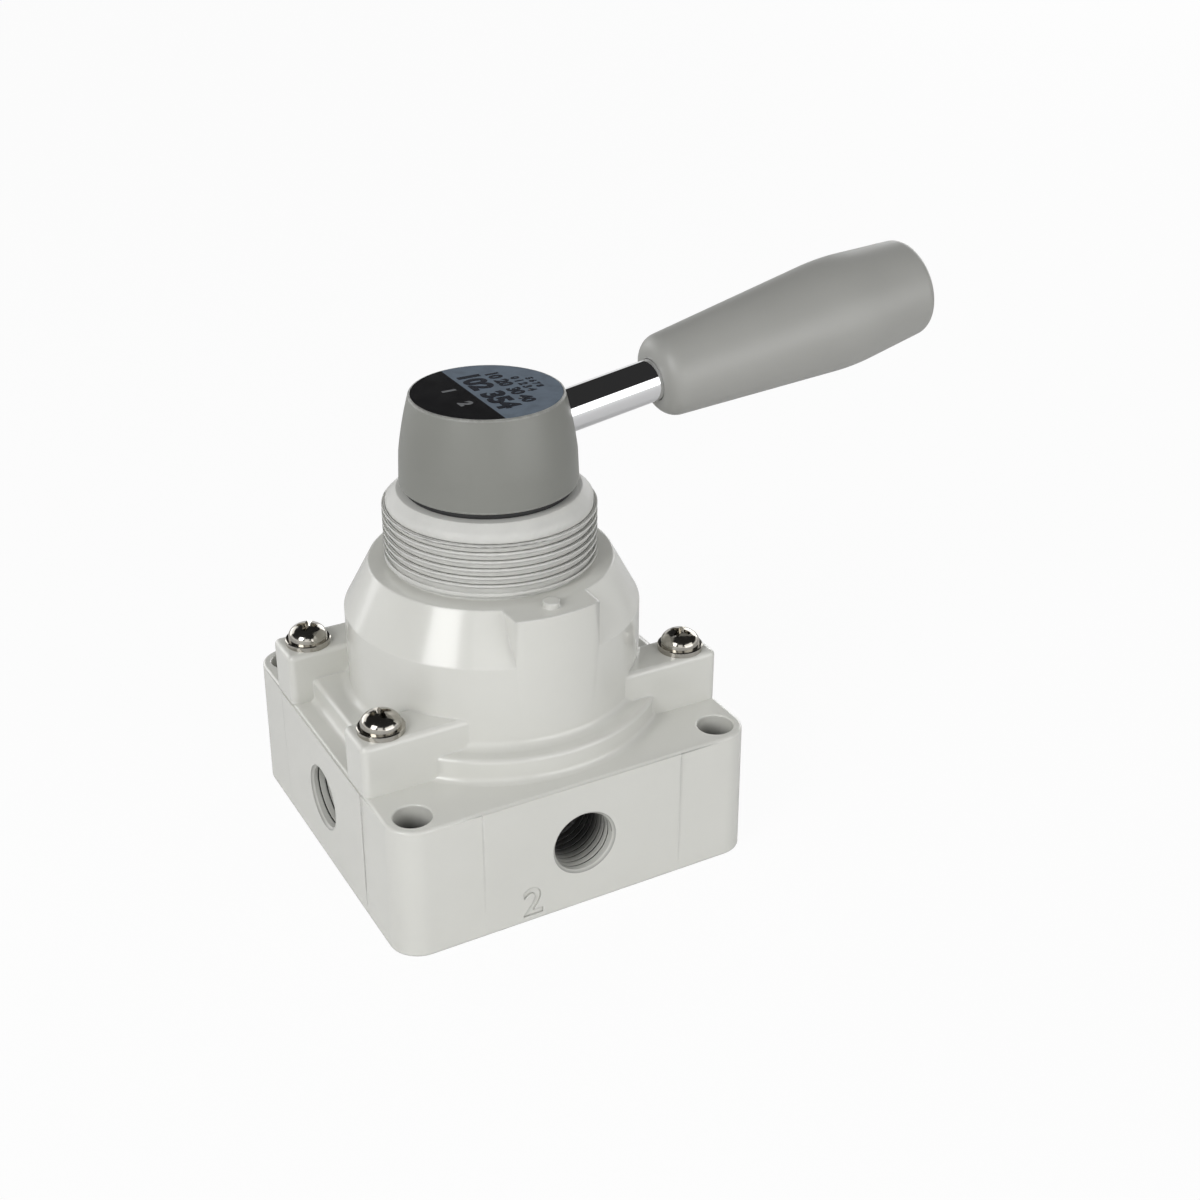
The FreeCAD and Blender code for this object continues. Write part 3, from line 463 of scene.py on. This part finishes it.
def number_mesh(text, height, depth, weight=0.0):
    """A plain number as a closed mesh, standing on the XY plane with its lower left corner at zero.

    depth is its whole thickness, half of it below the plane, and weight makes its strokes bolder.
    """
    curve = bpy.data.curves.new("number", "FONT")
    curve.body = text
    curve.extrude = depth / 2
    curve.offset = weight
    curve.resolution_u = 6
    holder = bpy.data.objects.new("number", curve)
    scene.collection.objects.link(holder)
    graph = bpy.context.evaluated_depsgraph_get()
    mesh = bpy.data.meshes.new_from_object(holder.evaluated_get(graph))
    bpy.data.objects.remove(holder)
    low = Vector(min(point.co[axis] for point in mesh.vertices) for axis in range(3))
    high = Vector(max(point.co[axis] for point in mesh.vertices) for axis in range(3))
    scale = height / (high.y - low.y)
    mesh.transform(Matrix.Translation((-low.x, -low.y, 0)))
    mesh.transform(Matrix.Diagonal((scale, scale, 1, 1)))
    return mesh


# Carries a mesh drawn on the XY plane to the housing's front face.
front_face = Matrix.Translation((0, -side, 0)) @ Matrix.Rotation(math.radians(90), 4, "X")
number_height = 0.0058
number_left = -0.0121
number_foot = 0.001
number_depth = 0.0005
number_weight = 0.02
port_turns = (0, 90, 180, 270)

housing_piece = merged_copy("housing", "housing_casting")
housing_cutters = []
for turn in port_turns:
    groove = grown_mesh(
        "port_groove", thread_groove, radius=(port_major + port_minor) / 2,
        depth=port_major - port_minor + port_groove_spare,
        outer_width=port_groove_root, inner_width=port_pitch * port_groove_share, pitch=port_pitch,
        turns=port_thread_length / port_pitch, finish=bare_thread_and_shade,
    )
    straight_up(groove)
    into = Matrix.Rotation(math.radians(-90), 4, "X")
    groove.transform(Matrix.Translation((0, -port_thread_start, port_height)) @ into)
    groove.transform(Matrix.Rotation(math.radians(turn), 4, "Z"))
    housing_cutters.append(new_piece("port_groove", groove))
stamped = number_mesh("2", number_height, number_depth, weight=number_weight)
stamped.transform(front_face @ Matrix.Translation((number_left, number_foot, 0)))
straight_up(stamped)
housing_cutters.append(new_piece("number_stamp", stamped))
carve(housing_piece, housing_cutters)

housing_piece.data.materials.clear()
for finish in (enamel, bare_thread_and_shade, bare_hole_and_shade):
    housing_piece.data.materials.append(finish)
wall_spare = 0.0002
face_spare = 0.00004
for face in housing_piece.data.polygons:
    across = min(abs(face.center.x), abs(face.center.y))
    along = max(abs(face.center.x), abs(face.center.y))
    from_port = math.hypot(across, face.center.z - port_height)
    past_mount_x = abs(face.center.x) - mount_hole_pitch / 2
    past_mount_y = abs(face.center.y) - mount_hole_pitch / 2
    from_mount = math.hypot(past_mount_x, past_mount_y)
    between_ends = 2 * wall_spare < face.center.z < housing_top - wall_spare
    if from_port < port_major + wall_spare and along < side - face_spare:
        face.material_index = 1
    elif from_mount < mount_hole_radius + wall_spare and between_ends:
        face.material_index = 2
smooth(housing_piece)
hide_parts("housing")
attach(housing_piece, "valve")


# Seat: a nitrile gasket, a lapped steel plate over it, two dowel pins and the ring seal of the joint.
# All of it is shut in between housing and cover.
def finish_solids(names, material):
    """Give a material to solids that stay as they are."""
    for name in names:
        mesh = nodes[name].data
        mesh.materials.clear()
        mesh.materials.append(material)


rubber = finish_material(
    "black_rubber", (0.022, 0.022, 0.023), (0.014, 0.014, 0.015), (0.55, 0.75), grain=2200, mottle=120,
    bump=0.3, bump_depth=0.00006,
)
lapped_steel = finish_material(
    "lapped_seat", (0.6, 0.6, 0.61), (0.52, 0.52, 0.53), (0.16, 0.26), metallic=1.0, edge=(0.75, 0.75, 0.75),
    grain=4000, mottle=400, bump=0.05, bump_depth=0.00002,
)
turned_steel = finish_material(
    "turned_steel", (0.56, 0.57, 0.58), (0.46, 0.47, 0.48), (0.24, 0.38), metallic=1.0,
    edge=(0.72, 0.72, 0.73), grain=3000, mottle=250, bump=0.12, bump_depth=0.00003,
)
finish_solids(["seat_gasket", "joint_seal", "shaft_seal"], rubber)
finish_solids(["seat_plate"], lapped_steel)
finish_solids(["seat_pins"], turned_steel)


# Cover: a second die casting, painted with the housing. Its neck is threaded M38 x 1.5 for a panel nut.
# The thread is cut from a copy of the solid, between the relief at its foot and the chamfer at its top.
# The neck is matt and grainy, where the rest of the casting is semi gloss.
neck_radius = 0.019
neck_pitch = 0.0015
neck_thread_depth = 0.00068
neck_foot = 0.0549
neck_turns = 6.6
neck_spare = 0.0001
neck_groove_spare = 0.0006
neck_groove_mouth = neck_pitch * 1.25
neck_groove_root = 0.0002


def true_round_walls(piece, walls, slack=0.00003, least_match=0.95):
    """Give the faces of walls turned about the Z axis the normals of the true wall.

    walls holds each wall's two ends as (radius, height). A face within the slack of a wall is passed over
    where the cosine between its normal and the wall's is below least_match.
    """
    mesh = piece.data
    normals = [corner.vector.copy() for corner in mesh.corner_normals]
    for (foot_radius, foot), (top_radius, top) in walls:
        slope = (top_radius - foot_radius) / (top - foot)
        for face in mesh.polygons:
            points = [mesh.vertices[place].co for place in face.vertices]
            if any(not foot - slack <= point.z <= top + slack for point in points):
                continue
            if any(abs(point.xy.length - foot_radius - slope * (point.z - foot)) > slack for point in points):
                continue
            outward = Vector((*face.center.xy, -slope * face.center.xy.length)).normalized()
            if outward.dot(face.normal) < least_match:
                continue
            for corner, point in zip(face.loop_indices, points):
                normals[corner] = Vector((*point.xy, -slope * point.xy.length)).normalized()
    mesh.normals_split_custom_set(normals)


drum_radius = 0.0267
ledge_top = housing_top + 0.0044
ring_level = 0.054
shoulder = ring_level - 0.0088
cone_top_radius = drum_radius - 0.0047

# Its paler edge colour is a painted highlight, as on the rest of the enamel.
neck_enamel = finish_material(
    "matt_neck_enamel", (0.69, 0.69, 0.66), (0.61, 0.61, 0.585), (0.42, 0.6), edge=(0.76, 0.76, 0.73),
    edge_width=0.0004, grain=1600, mottle=240, bump=0.35, bump_depth=0.00008,
)
cover_piece = merged_copy("cover", "cover_casting")
neck_groove = grown_mesh(
    "neck_groove", thread_groove, radius=neck_radius + (neck_groove_spare - neck_thread_depth) / 2,
    depth=neck_thread_depth + neck_groove_spare, outer_width=neck_groove_mouth,
    inner_width=neck_groove_root, pitch=neck_pitch, turns=neck_turns, finish=enamel,
)
neck_groove.transform(Matrix.Translation((0, 0, neck_foot + neck_pitch / 2)))
straight_up(neck_groove)
carve(cover_piece, [new_piece("neck_groove", neck_groove)])
cover_piece.data.materials.clear()
cover_piece.data.materials.append(enamel)
cover_piece.data.materials.append(neck_enamel)
for face in cover_piece.data.polygons:
    if face.center.z > ring_level + neck_spare and face.center.xy.length < neck_radius + neck_spare:
        face.material_index = 1
smooth(cover_piece)
true_round_walls(cover_piece, [
    ((drum_radius, ledge_top), (drum_radius, shoulder)),
    ((drum_radius, shoulder), (cone_top_radius, ring_level)),
])
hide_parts("cover")
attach(cover_piece, "valve")


# Cover screws: M4 pan heads with a cross recess, cold formed and nickel plated, each on a plain washer.
# They clamp the cover to the housing through its four arms. Each is left at its own turn.
recess_foot_share = 0.55
recess_mouth_share = 1.15
recess_rise_share = 0.3
screw_steps = 72
first_screw_turn = 20
next_screw_turn = 35


def turned_mesh(name, outline, steps=160, weld=1e-7):
    """A closed mesh from a half outline of (radius, height), turned about the Z axis."""
    shape = bmesh.new()
    points = [shape.verts.new((radius, 0, height)) for radius, height in outline]
    edges = [shape.edges.new((points[step], points[(step + 1) % len(points)])) for step in range(len(points))]
    bmesh.ops.spin(
        shape, geom=points + edges, cent=(0, 0, 0), axis=(0, 0, 1), angle=math.tau, steps=steps,
        use_merge=True, use_duplicate=False,
    )
    bmesh.ops.remove_doubles(shape, verts=shape.verts, dist=weld)
    bmesh.ops.dissolve_degenerate(shape, edges=shape.edges, dist=weld)
    bmesh.ops.recalc_face_normals(shape, faces=shape.faces)
    mesh = bpy.data.meshes.new(name)
    shape.to_mesh(mesh)
    shape.free()
    return mesh


def join_meshes(name, meshes):
    """One mesh out of several."""
    shape = bmesh.new()
    for mesh in meshes:
        shape.from_mesh(mesh)
        bpy.data.meshes.remove(mesh)
    joined = bpy.data.meshes.new(name)
    shape.to_mesh(joined)
    shape.free()
    return joined


def recess_slot(length, width, depth):
    """A box that narrows downwards from above the head, for one bar of the cross recess.

    length and width are about what it measures at the head's top, and the shares set its two ends from them.
    """
    shape = bmesh.new()
    result = bmesh.ops.create_cube(shape, size=1)
    for corner in result["verts"]:
        low = corner.co.z < 0
        share = recess_foot_share if low else recess_mouth_share
        corner.co = Vector((
            corner.co.x * length * share,
            corner.co.y * width * share,
            -depth if low else recess_rise_share * depth,
        ))
    mesh = bpy.data.meshes.new("recess")
    shape.to_mesh(mesh)
    shape.free()
    return mesh


nickel = finish_material(
    "bright_nickel", (0.5, 0.48, 0.44), (0.38, 0.36, 0.32), (0.09, 0.2), metallic=1.0,
    grain=3500, mottle=500, bump=0.05, bump_depth=0.00002,
)
screws_low, screws_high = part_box("cover_screws")
washers_low, washers_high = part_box("cover_washers")
head_radius = 0.00355
shank_radius = 0.002
head_side = 0.0004
washer_rounding = 0.00015
recess_length = 0.0042
recess_width = 0.001
recess_depth = 0.0016
screw_x = screws_high[0] - head_radius
screw_y = screws_high[1] - head_radius
screw_seat = washers_high[2]
crown_steps = 14
crown_height = screws_high[2] - screw_seat - head_side
crown = []
for step in range(crown_steps + 1):
    turn = math.radians(90) * step / crown_steps
    crown.append((head_radius * math.cos(turn), screw_seat + head_side + crown_height * math.sin(turn)))
crown[-1] = (0, screws_high[2])
screw_outline = [
    (0, screws_low[2]), (shank_radius, screws_low[2]), (shank_radius, screw_seat),
    (head_radius, screw_seat), *crown,
]
washer_hole = 0.0021
washer_radius = washers_high[0] - screw_x
washer_outline = [
    (washer_hole, washers_low[2]), (washer_radius, washers_low[2]),
    (washer_radius, washers_high[2] - washer_rounding), (washer_radius - washer_rounding, washers_high[2]),
    (washer_hole, washers_high[2]),
]
screws = []
washers = []
for count, (across, along) in enumerate(((1, 1), (-1, 1), (-1, -1), (1, -1))):
    screw = new_piece("screw", turned_mesh("screw", screw_outline, steps=screw_steps))
    slots = []
    for bar in (0, 90):
        slot = recess_slot(recess_length, recess_width, recess_depth)
        screw_turn = first_screw_turn + next_screw_turn * count
        turned = Matrix.Rotation(math.radians(screw_turn + bar), 4, "Z")
        slot.transform(Matrix.Translation((0, 0, screws_high[2])) @ turned)
        slots.append(new_piece("recess", slot))
    carve(screw, slots)
    screw.data.transform(Matrix.Translation((across * screw_x, along * screw_y, 0)))
    screws.append(screw.data)
    bpy.data.objects.remove(screw)
    washer = turned_mesh("washer", washer_outline, steps=screw_steps)
    washer.transform(Matrix.Translation((across * screw_x, along * screw_y, 0)))
    washers.append(washer)
screws_piece = new_piece("cover_screws_plated", join_meshes("cover_screws_plated", screws))
washers_piece = new_piece("cover_washers_plated", join_meshes("cover_washers_plated", washers))
for piece, node in ((screws_piece, "cover_screws"), (washers_piece, "cover_washers")):
    piece.data.materials.clear()
    piece.data.materials.append(nickel)
    smooth(piece, limit=35)
    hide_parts(node)
    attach(piece, "valve")


# Spindle and its bearing: turned and ground steel in a sintered bronze bush, with a thrust washer.
# The drive pins, the stop pin and the detent plate are of the same steel.
bronze = finish_material(
    "sintered_bronze", (0.55, 0.4, 0.2), (0.42, 0.3, 0.15), (0.4, 0.55), metallic=1.0, edge=(0.7, 0.55, 0.3),
    grain=2500, mottle=350, bump=0.25, bump_depth=0.00004,
)
finish_solids(["spindle", "drive_pins", "thrust_washer", "stop_pin", "detent_plate"], turned_steel)
finish_solids(["spindle_bush"], bronze)


# Valve disc and its spring: a lapped disc of filled resin under a coned washer of spring steel.
# The two detent springs are wound from the same steel.
resin = finish_material(
    "filled_resin", (0.05, 0.05, 0.05), (0.035, 0.035, 0.035), (0.3, 0.45), grain=2500, mottle=300, bump=0.1,
)
spring_steel = finish_material(
    "spring_steel", (0.42, 0.43, 0.44), (0.33, 0.34, 0.35), (0.22, 0.34), metallic=1.0,
    grain=3000, mottle=300, bump=0.08, bump_depth=0.00003,
)
finish_solids(["valve_disc"], resin)
finish_solids(["disc_spring", "detent_spring_right", "detent_spring_left"], spring_steel)


# Detent balls: hardened and polished bearing balls.
# They ride in the spindle's flange and rise into the detent plate's pockets.
ball_steel = finish_material(
    "ball_steel", (0.7, 0.7, 0.71), (0.64, 0.64, 0.65), (0.05, 0.1), metallic=1.0, grain=4000, mottle=400,
    bump=0.02, bump_depth=0.00001,
)
finish_solids(["detent_ball_right", "detent_ball_left"], ball_steel)


# Dust seal: a black rubber ring in the neck's counterbore, with a lip under the knob.
# It is pressed in, and keeps dirt out of the spindle's bearing.
def rounded(outline, radii, steps=6):
    """Round the corners of an outline: radii maps a corner's place in the list to its radius."""
    result = []
    for place, corner in enumerate(outline):
        here = Vector(corner)
        if place not in radii:
            result.append(tuple(here))
            continue
        before = (Vector(outline[place - 1]) - here).normalized()
        after = (Vector(outline[(place + 1) % len(outline)]) - here).normalized()
        half = before.angle(after) / 2
        reach = radii[place] / math.tan(half)
        centre = here + (before + after).normalized() * radii[place] / math.sin(half)
        first = here + before * reach - centre
        last = here + after * reach - centre
        sweep = first.angle_signed(last)
        for step in range(steps + 1):
            spoke = first.copy()
            spoke.rotate(Matrix.Rotation(-sweep * step / steps, 2))
            result.append(tuple(centre + spoke))
    return result


seal_low, seal_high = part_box("dust_seal")
neck_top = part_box("cover")[1][2]
seal_bore = 0.0076
seal_sleeve = 0.01195
seal_lip = seal_high[0]
seal_outline = [
    (seal_bore, seal_low[2]), (seal_sleeve, seal_low[2]), (seal_sleeve, neck_top), (seal_lip, neck_top),
    (seal_lip, seal_high[2]), (seal_bore, seal_high[2]),
]
seal_corners = {3: 0.0004, 4: 0.0005}
seal_mesh = turned_mesh("dust_seal_ring", rounded(seal_outline, seal_corners))
seal_piece = new_piece("dust_seal_ring", seal_mesh)
seal_piece.data.materials.append(rubber)
smooth(seal_piece)
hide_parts("dust_seal")
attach(seal_piece, "valve")


# Knob: moulded in grey resin, hollow for the spindle, with a thin rim round the label.
# Its edges are painted pale, a painted highlight where the rim catches the light.
knob_grey = finish_material(
    "knob_grey", (0.235, 0.238, 0.218), (0.218, 0.221, 0.202), (0.34, 0.46), edge=(0.66, 0.66, 0.64),
    edge_width=0.0006, grain=1800, mottle=90, bump=0.1, bump_depth=0.00005,
)
knob_piece = merged_copy("knob", "knob_cap")
knob_piece.data.materials.append(knob_grey)
smooth(knob_piece)
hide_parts("knob")
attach(knob_piece, "lever")


# Label plate: printed foil, black towards the back of the lever and blue grey on the lever's side.
# It is let into the knob's top, and carries plain figures only.
label_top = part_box("label_plate")[1][2]
field_edge = -0.0027
field_blur = 0.0001


def make_label_material():
    """Two printed fields that meet in a straight line across the plate."""
    material = bpy.data.materials.new("label_film")
    material.use_nodes = True
    tree = material.node_tree
    shader = tree.nodes["Principled BSDF"]
    shader.inputs["Specular IOR Level"].default_value = 0.28
    link = tree.links.new
    place = tree.nodes.new("ShaderNodeTexCoord")
    split = tree.nodes.new("ShaderNodeSeparateXYZ")
    edge = tree.nodes.new("ShaderNodeMapRange")
    edge.inputs["From Min"].default_value = field_edge - field_blur
    edge.inputs["From Max"].default_value = field_edge + field_blur
    fields = tree.nodes.new("ShaderNodeMix")
    fields.data_type = "RGBA"
    fields.inputs["A"].default_value = (0.006, 0.006, 0.007, 1)
    fields.inputs["B"].default_value = (0.17, 0.21, 0.26, 1)
    texture = tree.nodes.new("ShaderNodeGroup")
    texture.node_tree = surface_grain
    texture.inputs["Grain Scale"].default_value = 2600
    texture.inputs["Mottle Scale"].default_value = 320
    rubbed = tree.nodes.new("ShaderNodeMapRange")
    rubbed.inputs["From Min"].default_value = 0.42
    rubbed.inputs["From Max"].default_value = 0.7
    rubbed.inputs["To Max"].default_value = 0.3
    on_grey = tree.nodes.new("ShaderNodeMath")
    on_grey.operation = "MULTIPLY"
    second_tone = tree.nodes.new("ShaderNodeMix")
    second_tone.data_type = "RGBA"
    second_tone.inputs["B"].default_value = (0.045, 0.055, 0.07, 1)
    polish = tree.nodes.new("ShaderNodeMapRange")
    polish.inputs["To Min"].default_value = 0.1
    polish.inputs["To Max"].default_value = 0.2
    relief = tree.nodes.new("ShaderNodeBump")
    relief.inputs["Strength"].default_value = 0.08
    relief.inputs["Distance"].default_value = 0.00003
    link(place.outputs["Object"], split.inputs["Vector"])
    link(split.outputs["X"], edge.inputs["Value"])
    link(edge.outputs["Result"], fields.inputs["Factor"])
    link(texture.outputs["Mottle"], rubbed.inputs["Value"])
    link(rubbed.outputs["Result"], on_grey.inputs[0])
    link(edge.outputs["Result"], on_grey.inputs[1])
    link(on_grey.outputs["Value"], second_tone.inputs["Factor"])
    link(fields.outputs["Result"], second_tone.inputs["A"])
    link(second_tone.outputs["Result"], shader.inputs["Base Color"])
    link(texture.outputs["Mottle"], polish.inputs["Value"])
    link(polish.outputs["Result"], shader.inputs["Roughness"])
    link(texture.outputs["Height"], relief.inputs["Height"])
    link(relief.outputs["Normal"], shader.inputs["Normal"])
    return material


dark_ink = finish_material(
    "dark_ink", (0.009, 0.013, 0.024), (0.006, 0.008, 0.015), (0.2, 0.26), grain=2600, mottle=400, bump=0.05,
    bump_depth=0.00002,
)
dark_ink.node_tree.nodes["Principled BSDF"].inputs["Specular IOR Level"].default_value = 0.15
pale_ink = finish_material(
    "pale_ink", (0.2, 0.21, 0.22), (0.12, 0.125, 0.13), (0.2, 0.26), grain=2600, mottle=400, bump=0.05,
    bump_depth=0.00002,
)
ink_thickness = 0.00006
ink_weight = 0.055


def printed(text, height, middle, along, ink):
    """Printed figures that read along -Y, with the middle of their line at X = middle and Y = along."""
    mesh = number_mesh(text, height, ink_thickness, weight=ink_weight)
    width = max(point.co.x for point in mesh.vertices)
    mesh.transform(Matrix.Translation((-width / 2, -height / 2, 0)))
    onto_label = Matrix.Translation((middle, along, label_top))
    mesh.transform(onto_label @ Matrix.Rotation(math.radians(-90), 4, "Z"))
    straight_up(mesh)
    mesh.materials.clear()
    mesh.materials.append(ink)
    return new_piece("printed_figures", mesh)


label_piece = merged_copy("label_plate", "label_foil")
label_piece.data.materials.append(make_label_material())
# Each holds its text, its height, its place in X and in Y, and its ink.
figures = (
    ("1", 0.0026, -0.0056, 0.0032, pale_ink), ("2", 0.0026, -0.0056, -0.0036, pale_ink),
    ("102", 0.0044, 0.0003, 0.0047, dark_ink), ("354", 0.0044, 0.0003, -0.0048, dark_ink),
    ("10 20", 0.0026, 0.0045, 0.0042, dark_ink), ("30 40", 0.0026, 0.0045, -0.0042, dark_ink),
    ("0 1 2 3 4", 0.0017, 0.0072, 0.0004, dark_ink), ("5 6 7 8", 0.0015, 0.0093, 0.0002, dark_ink),
)
ink_pieces = [printed(*figure) for figure in figures]
to_join = [label_piece, *ink_pieces]
with bpy.context.temp_override(active_object=label_piece, selected_editable_objects=to_join):
    bpy.ops.object.join()
smooth(label_piece)
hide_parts("label_plate")
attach(label_piece, "lever")


# Lever: a steel rod, ground, polished and chromed, screwed into the spindle through the knob.
# The grip is moulded in light grey resin and pushed over the rod's other end.
lever_tilt = math.radians(9.15)
lever_above_knob_foot = 0.00715
lever_axis_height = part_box("knob")[0][2] + lever_above_knob_foot
rod_radius = 0.00388
rod_shoulder = 0.0083
rod_spigot_radius = 0.003
rod_spigot_end = -0.0045
grip_start = 0.0335
grip_length = 0.0576
rod_in_grip = 0.027
rod_end = grip_start + rod_in_grip
grip_slip = 0.00005
grip_socket = rod_end + grip_slip
grip_bore = rod_radius + grip_slip
lever_root = Matrix.Translation((0, 0, lever_axis_height))
along_lever = lever_root @ Matrix.Rotation(math.radians(90) - lever_tilt, 4, "Y")

chrome = finish_material(
    "polished_chrome", (0.83, 0.83, 0.84), (0.8, 0.8, 0.81), (0.02, 0.05), metallic=1.0,
    grain=4000, mottle=200, bump=0.01, bump_depth=0.00001,
)
grip_grey = finish_material(
    "grip_grey", (0.375, 0.375, 0.355), (0.35, 0.35, 0.332), (0.34, 0.46), edge=(0.45, 0.45, 0.43),
    edge_width=0.0004, grain=1500, mottle=80, bump=0.1, bump_depth=0.00005,
)
rod_outline = [
    (0, rod_spigot_end), (rod_spigot_radius, rod_spigot_end), (rod_spigot_radius, rod_shoulder),
    (rod_radius, rod_shoulder), (rod_radius, rod_end), (0, rod_end),
]
rod_mesh = turned_mesh("lever_rod_chromed", rod_outline, steps=96)
rod_mesh.transform(along_lever)
rod_piece = new_piece("lever_rod_chromed", rod_mesh)
rod_piece.data.materials.append(chrome)
smooth(rod_piece)
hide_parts("lever_rod")
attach(rod_piece, "lever")

# The grip widens to its swell, where the mould leaves two fine rings, then narrows to a rounded end.
swell_at = 0.0402
swell_radius = 0.0107
swell_rounding = 0.047
grip_neck_radius = 0.00771
grip_neck_edge = 0.0034
grip_end_radius = 0.00935
grip_end_edge = 0.0019
neck_slope = (swell_radius - grip_neck_radius) / (swell_at - grip_neck_edge)
end_slope = (swell_radius - grip_end_radius) / (grip_length - grip_end_edge - swell_at)
grip_corners = [
    (grip_bore, 0), (grip_neck_radius - neck_slope * grip_neck_edge, 0), (swell_radius, swell_at),
    (grip_end_radius - end_slope * grip_end_edge, grip_length),
    (0, grip_length), (0, grip_socket - grip_start), (grip_bore, grip_socket - grip_start),
]
ring_places = (0.0372, 0.0432)
ring_width = 0.0006
ring_depth = 0.00004


def with_rings(outline):
    """Press a fine hollow into the outline at each ring."""
    result = []
    for (radius, height), (next_radius, next_height) in zip(outline, outline[1:] + outline[:1]):
        result.append((radius, height))
        for ring in ring_places:
            foot = ring - ring_width / 2
            top = ring + ring_width / 2
            if height < foot and top < next_height:
                slope = (next_radius - radius) / (next_height - height)
                result.append((radius + slope * (foot - height), foot))
                result.append((radius + slope * (ring - height) - ring_depth, ring))
                result.append((radius + slope * (top - height), top))
    return result


grip_outline = rounded(grip_corners, {1: grip_neck_edge, 2: swell_rounding, 3: grip_end_edge}, steps=12)
grip_mesh = turned_mesh("lever_grip_moulded", with_rings(grip_outline), steps=128)
grip_mesh.transform(along_lever @ Matrix.Translation((0, 0, grip_start)))
grip_piece = new_piece("lever_grip_moulded", grip_mesh)
grip_piece.data.materials.append(grip_grey)
smooth(grip_piece)
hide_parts("lever_grip")
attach(grip_piece, "lever")


# Studio: a white table, a soft box at the left for the bright stripe on the cone, a weak one between it and
# the wide low one at the front, and two more that fill the sides away from the camera.
# To the camera the table glows nearly white, so that only a faint shadow shows on it.
table_size = 3.0
table_glow = 0.94
lamp_aim = Vector((0, 0, 0.045))


def make_table_material():
    """A matt white surface that glows towards the camera only."""
    material = bpy.data.materials.new("white_table")
    material.use_nodes = True
    tree = material.node_tree
    table = tree.nodes["Principled BSDF"]
    table.inputs["Base Color"].default_value = (0.86, 0.86, 0.86, 1)
    table.inputs["Roughness"].default_value = 0.6
    glow = tree.nodes.new("ShaderNodeEmission")
    glow.inputs["Color"].default_value = (1, 1, 1, 1)
    rays = tree.nodes.new("ShaderNodeLightPath")
    share = tree.nodes.new("ShaderNodeMath")
    share.operation = "MULTIPLY"
    share.inputs[1].default_value = table_glow
    mixed = tree.nodes.new("ShaderNodeMixShader")
    link = tree.links.new
    link(rays.outputs["Is Camera Ray"], share.inputs[0])
    link(share.outputs["Value"], mixed.inputs["Fac"])
    link(table.outputs["BSDF"], mixed.inputs[1])
    link(glow.outputs["Emission"], mixed.inputs[2])
    link(mixed.outputs["Shader"], tree.nodes["Material Output"].inputs["Surface"])
    return material


table_mesh = bpy.data.meshes.new("white_table")
table_corners = [
    (-table_size, -table_size, 0), (table_size, -table_size, 0), (table_size, table_size, 0),
    (-table_size, table_size, 0),
]
table_mesh.from_pydata(table_corners, [], [(0, 1, 2, 3)])
table_mesh.materials.append(make_table_material())
table = new_piece("white_table", table_mesh)


def soft_box(name, azimuth, elevation, distance, width, height, power):
    """A lamp aimed at the valve's middle from a direction given in degrees."""
    lamp = bpy.data.lights.new(name, "AREA")
    lamp.shape = "RECTANGLE"
    lamp.size = width
    lamp.size_y = height
    lamp.energy = power
    holder = bpy.data.objects.new(name, lamp)
    scene.collection.objects.link(holder)
    level = math.cos(math.radians(elevation))
    towards = Vector((
        level * math.cos(math.radians(azimuth)),
        level * math.sin(math.radians(azimuth)),
        math.sin(math.radians(elevation)),
    ))
    facing_valve = (-towards).to_track_quat("-Z", "Y")
    holder.matrix_world = Matrix.LocRotScale(lamp_aim + towards * distance, facing_valve, None)


soft_box("key_box", azimuth=-156, elevation=31, distance=0.7, width=0.29, height=0.38, power=2.2)
soft_box("corner_box", azimuth=-118, elevation=24, distance=0.9, width=0.4, height=0.4, power=0.6)
soft_box("front_box", azimuth=-66, elevation=14, distance=0.9, width=0.8, height=0.6, power=2.8)
soft_box("back_box", azimuth=35, elevation=14, distance=2.2, width=1.4, height=1.2, power=12)
soft_box("side_box", azimuth=112, elevation=14, distance=2.2, width=1.4, height=1.2, power=9)

# The camera sees plain white behind the valve. Metal and gloss show a low white band and a dark room above
# it, and what lights plain surfaces is a soft grey, paler overhead.
world = bpy.data.worlds.new("studio_air")
scene.world = world
world.use_nodes = True
air = world.node_tree
direction = air.nodes.new("ShaderNodeTexCoord")
apart = air.nodes.new("ShaderNodeSeparateXYZ")
ambient_tint = air.nodes.new("ShaderNodeValToRGB")
ambient_tint.color_ramp.elements[0].position = 0.0
ambient_tint.color_ramp.elements[0].color = (0.15, 0.15, 0.15, 1)
ambient_tint.color_ramp.elements[1].position = 1.0
ambient_tint.color_ramp.elements[1].color = (0.37, 0.37, 0.37, 1)
ambient = air.nodes["Background"]
room_tint = air.nodes.new("ShaderNodeValToRGB")
room_tint.color_ramp.elements[0].position = 0.2
room_tint.color_ramp.elements[0].color = (1, 1, 1, 1)
room_tint.color_ramp.elements[1].position = 0.3
room_tint.color_ramp.elements[1].color = (0.03, 0.03, 0.03, 1)
room = air.nodes.new("ShaderNodeBackground")
backdrop = air.nodes.new("ShaderNodeBackground")
backdrop.inputs["Color"].default_value = (1, 1, 1, 1)
sight = air.nodes.new("ShaderNodeLightPath")
reflected = air.nodes.new("ShaderNodeMixShader")
seen = air.nodes.new("ShaderNodeMixShader")
link = air.links.new
link(direction.outputs["Generated"], apart.inputs["Vector"])
link(apart.outputs["Z"], ambient_tint.inputs["Fac"])
link(ambient_tint.outputs["Color"], ambient.inputs["Color"])
link(apart.outputs["Z"], room_tint.inputs["Fac"])
link(room_tint.outputs["Color"], room.inputs["Color"])
link(sight.outputs["Is Glossy Ray"], reflected.inputs["Fac"])
link(ambient.outputs["Background"], reflected.inputs[1])
link(room.outputs["Background"], reflected.inputs[2])
link(sight.outputs["Is Camera Ray"], seen.inputs["Fac"])
link(reflected.outputs["Shader"], seen.inputs[1])
link(backdrop.outputs["Background"], seen.inputs[2])
link(seen.outputs["Shader"], air.nodes["World Output"].inputs["Surface"])
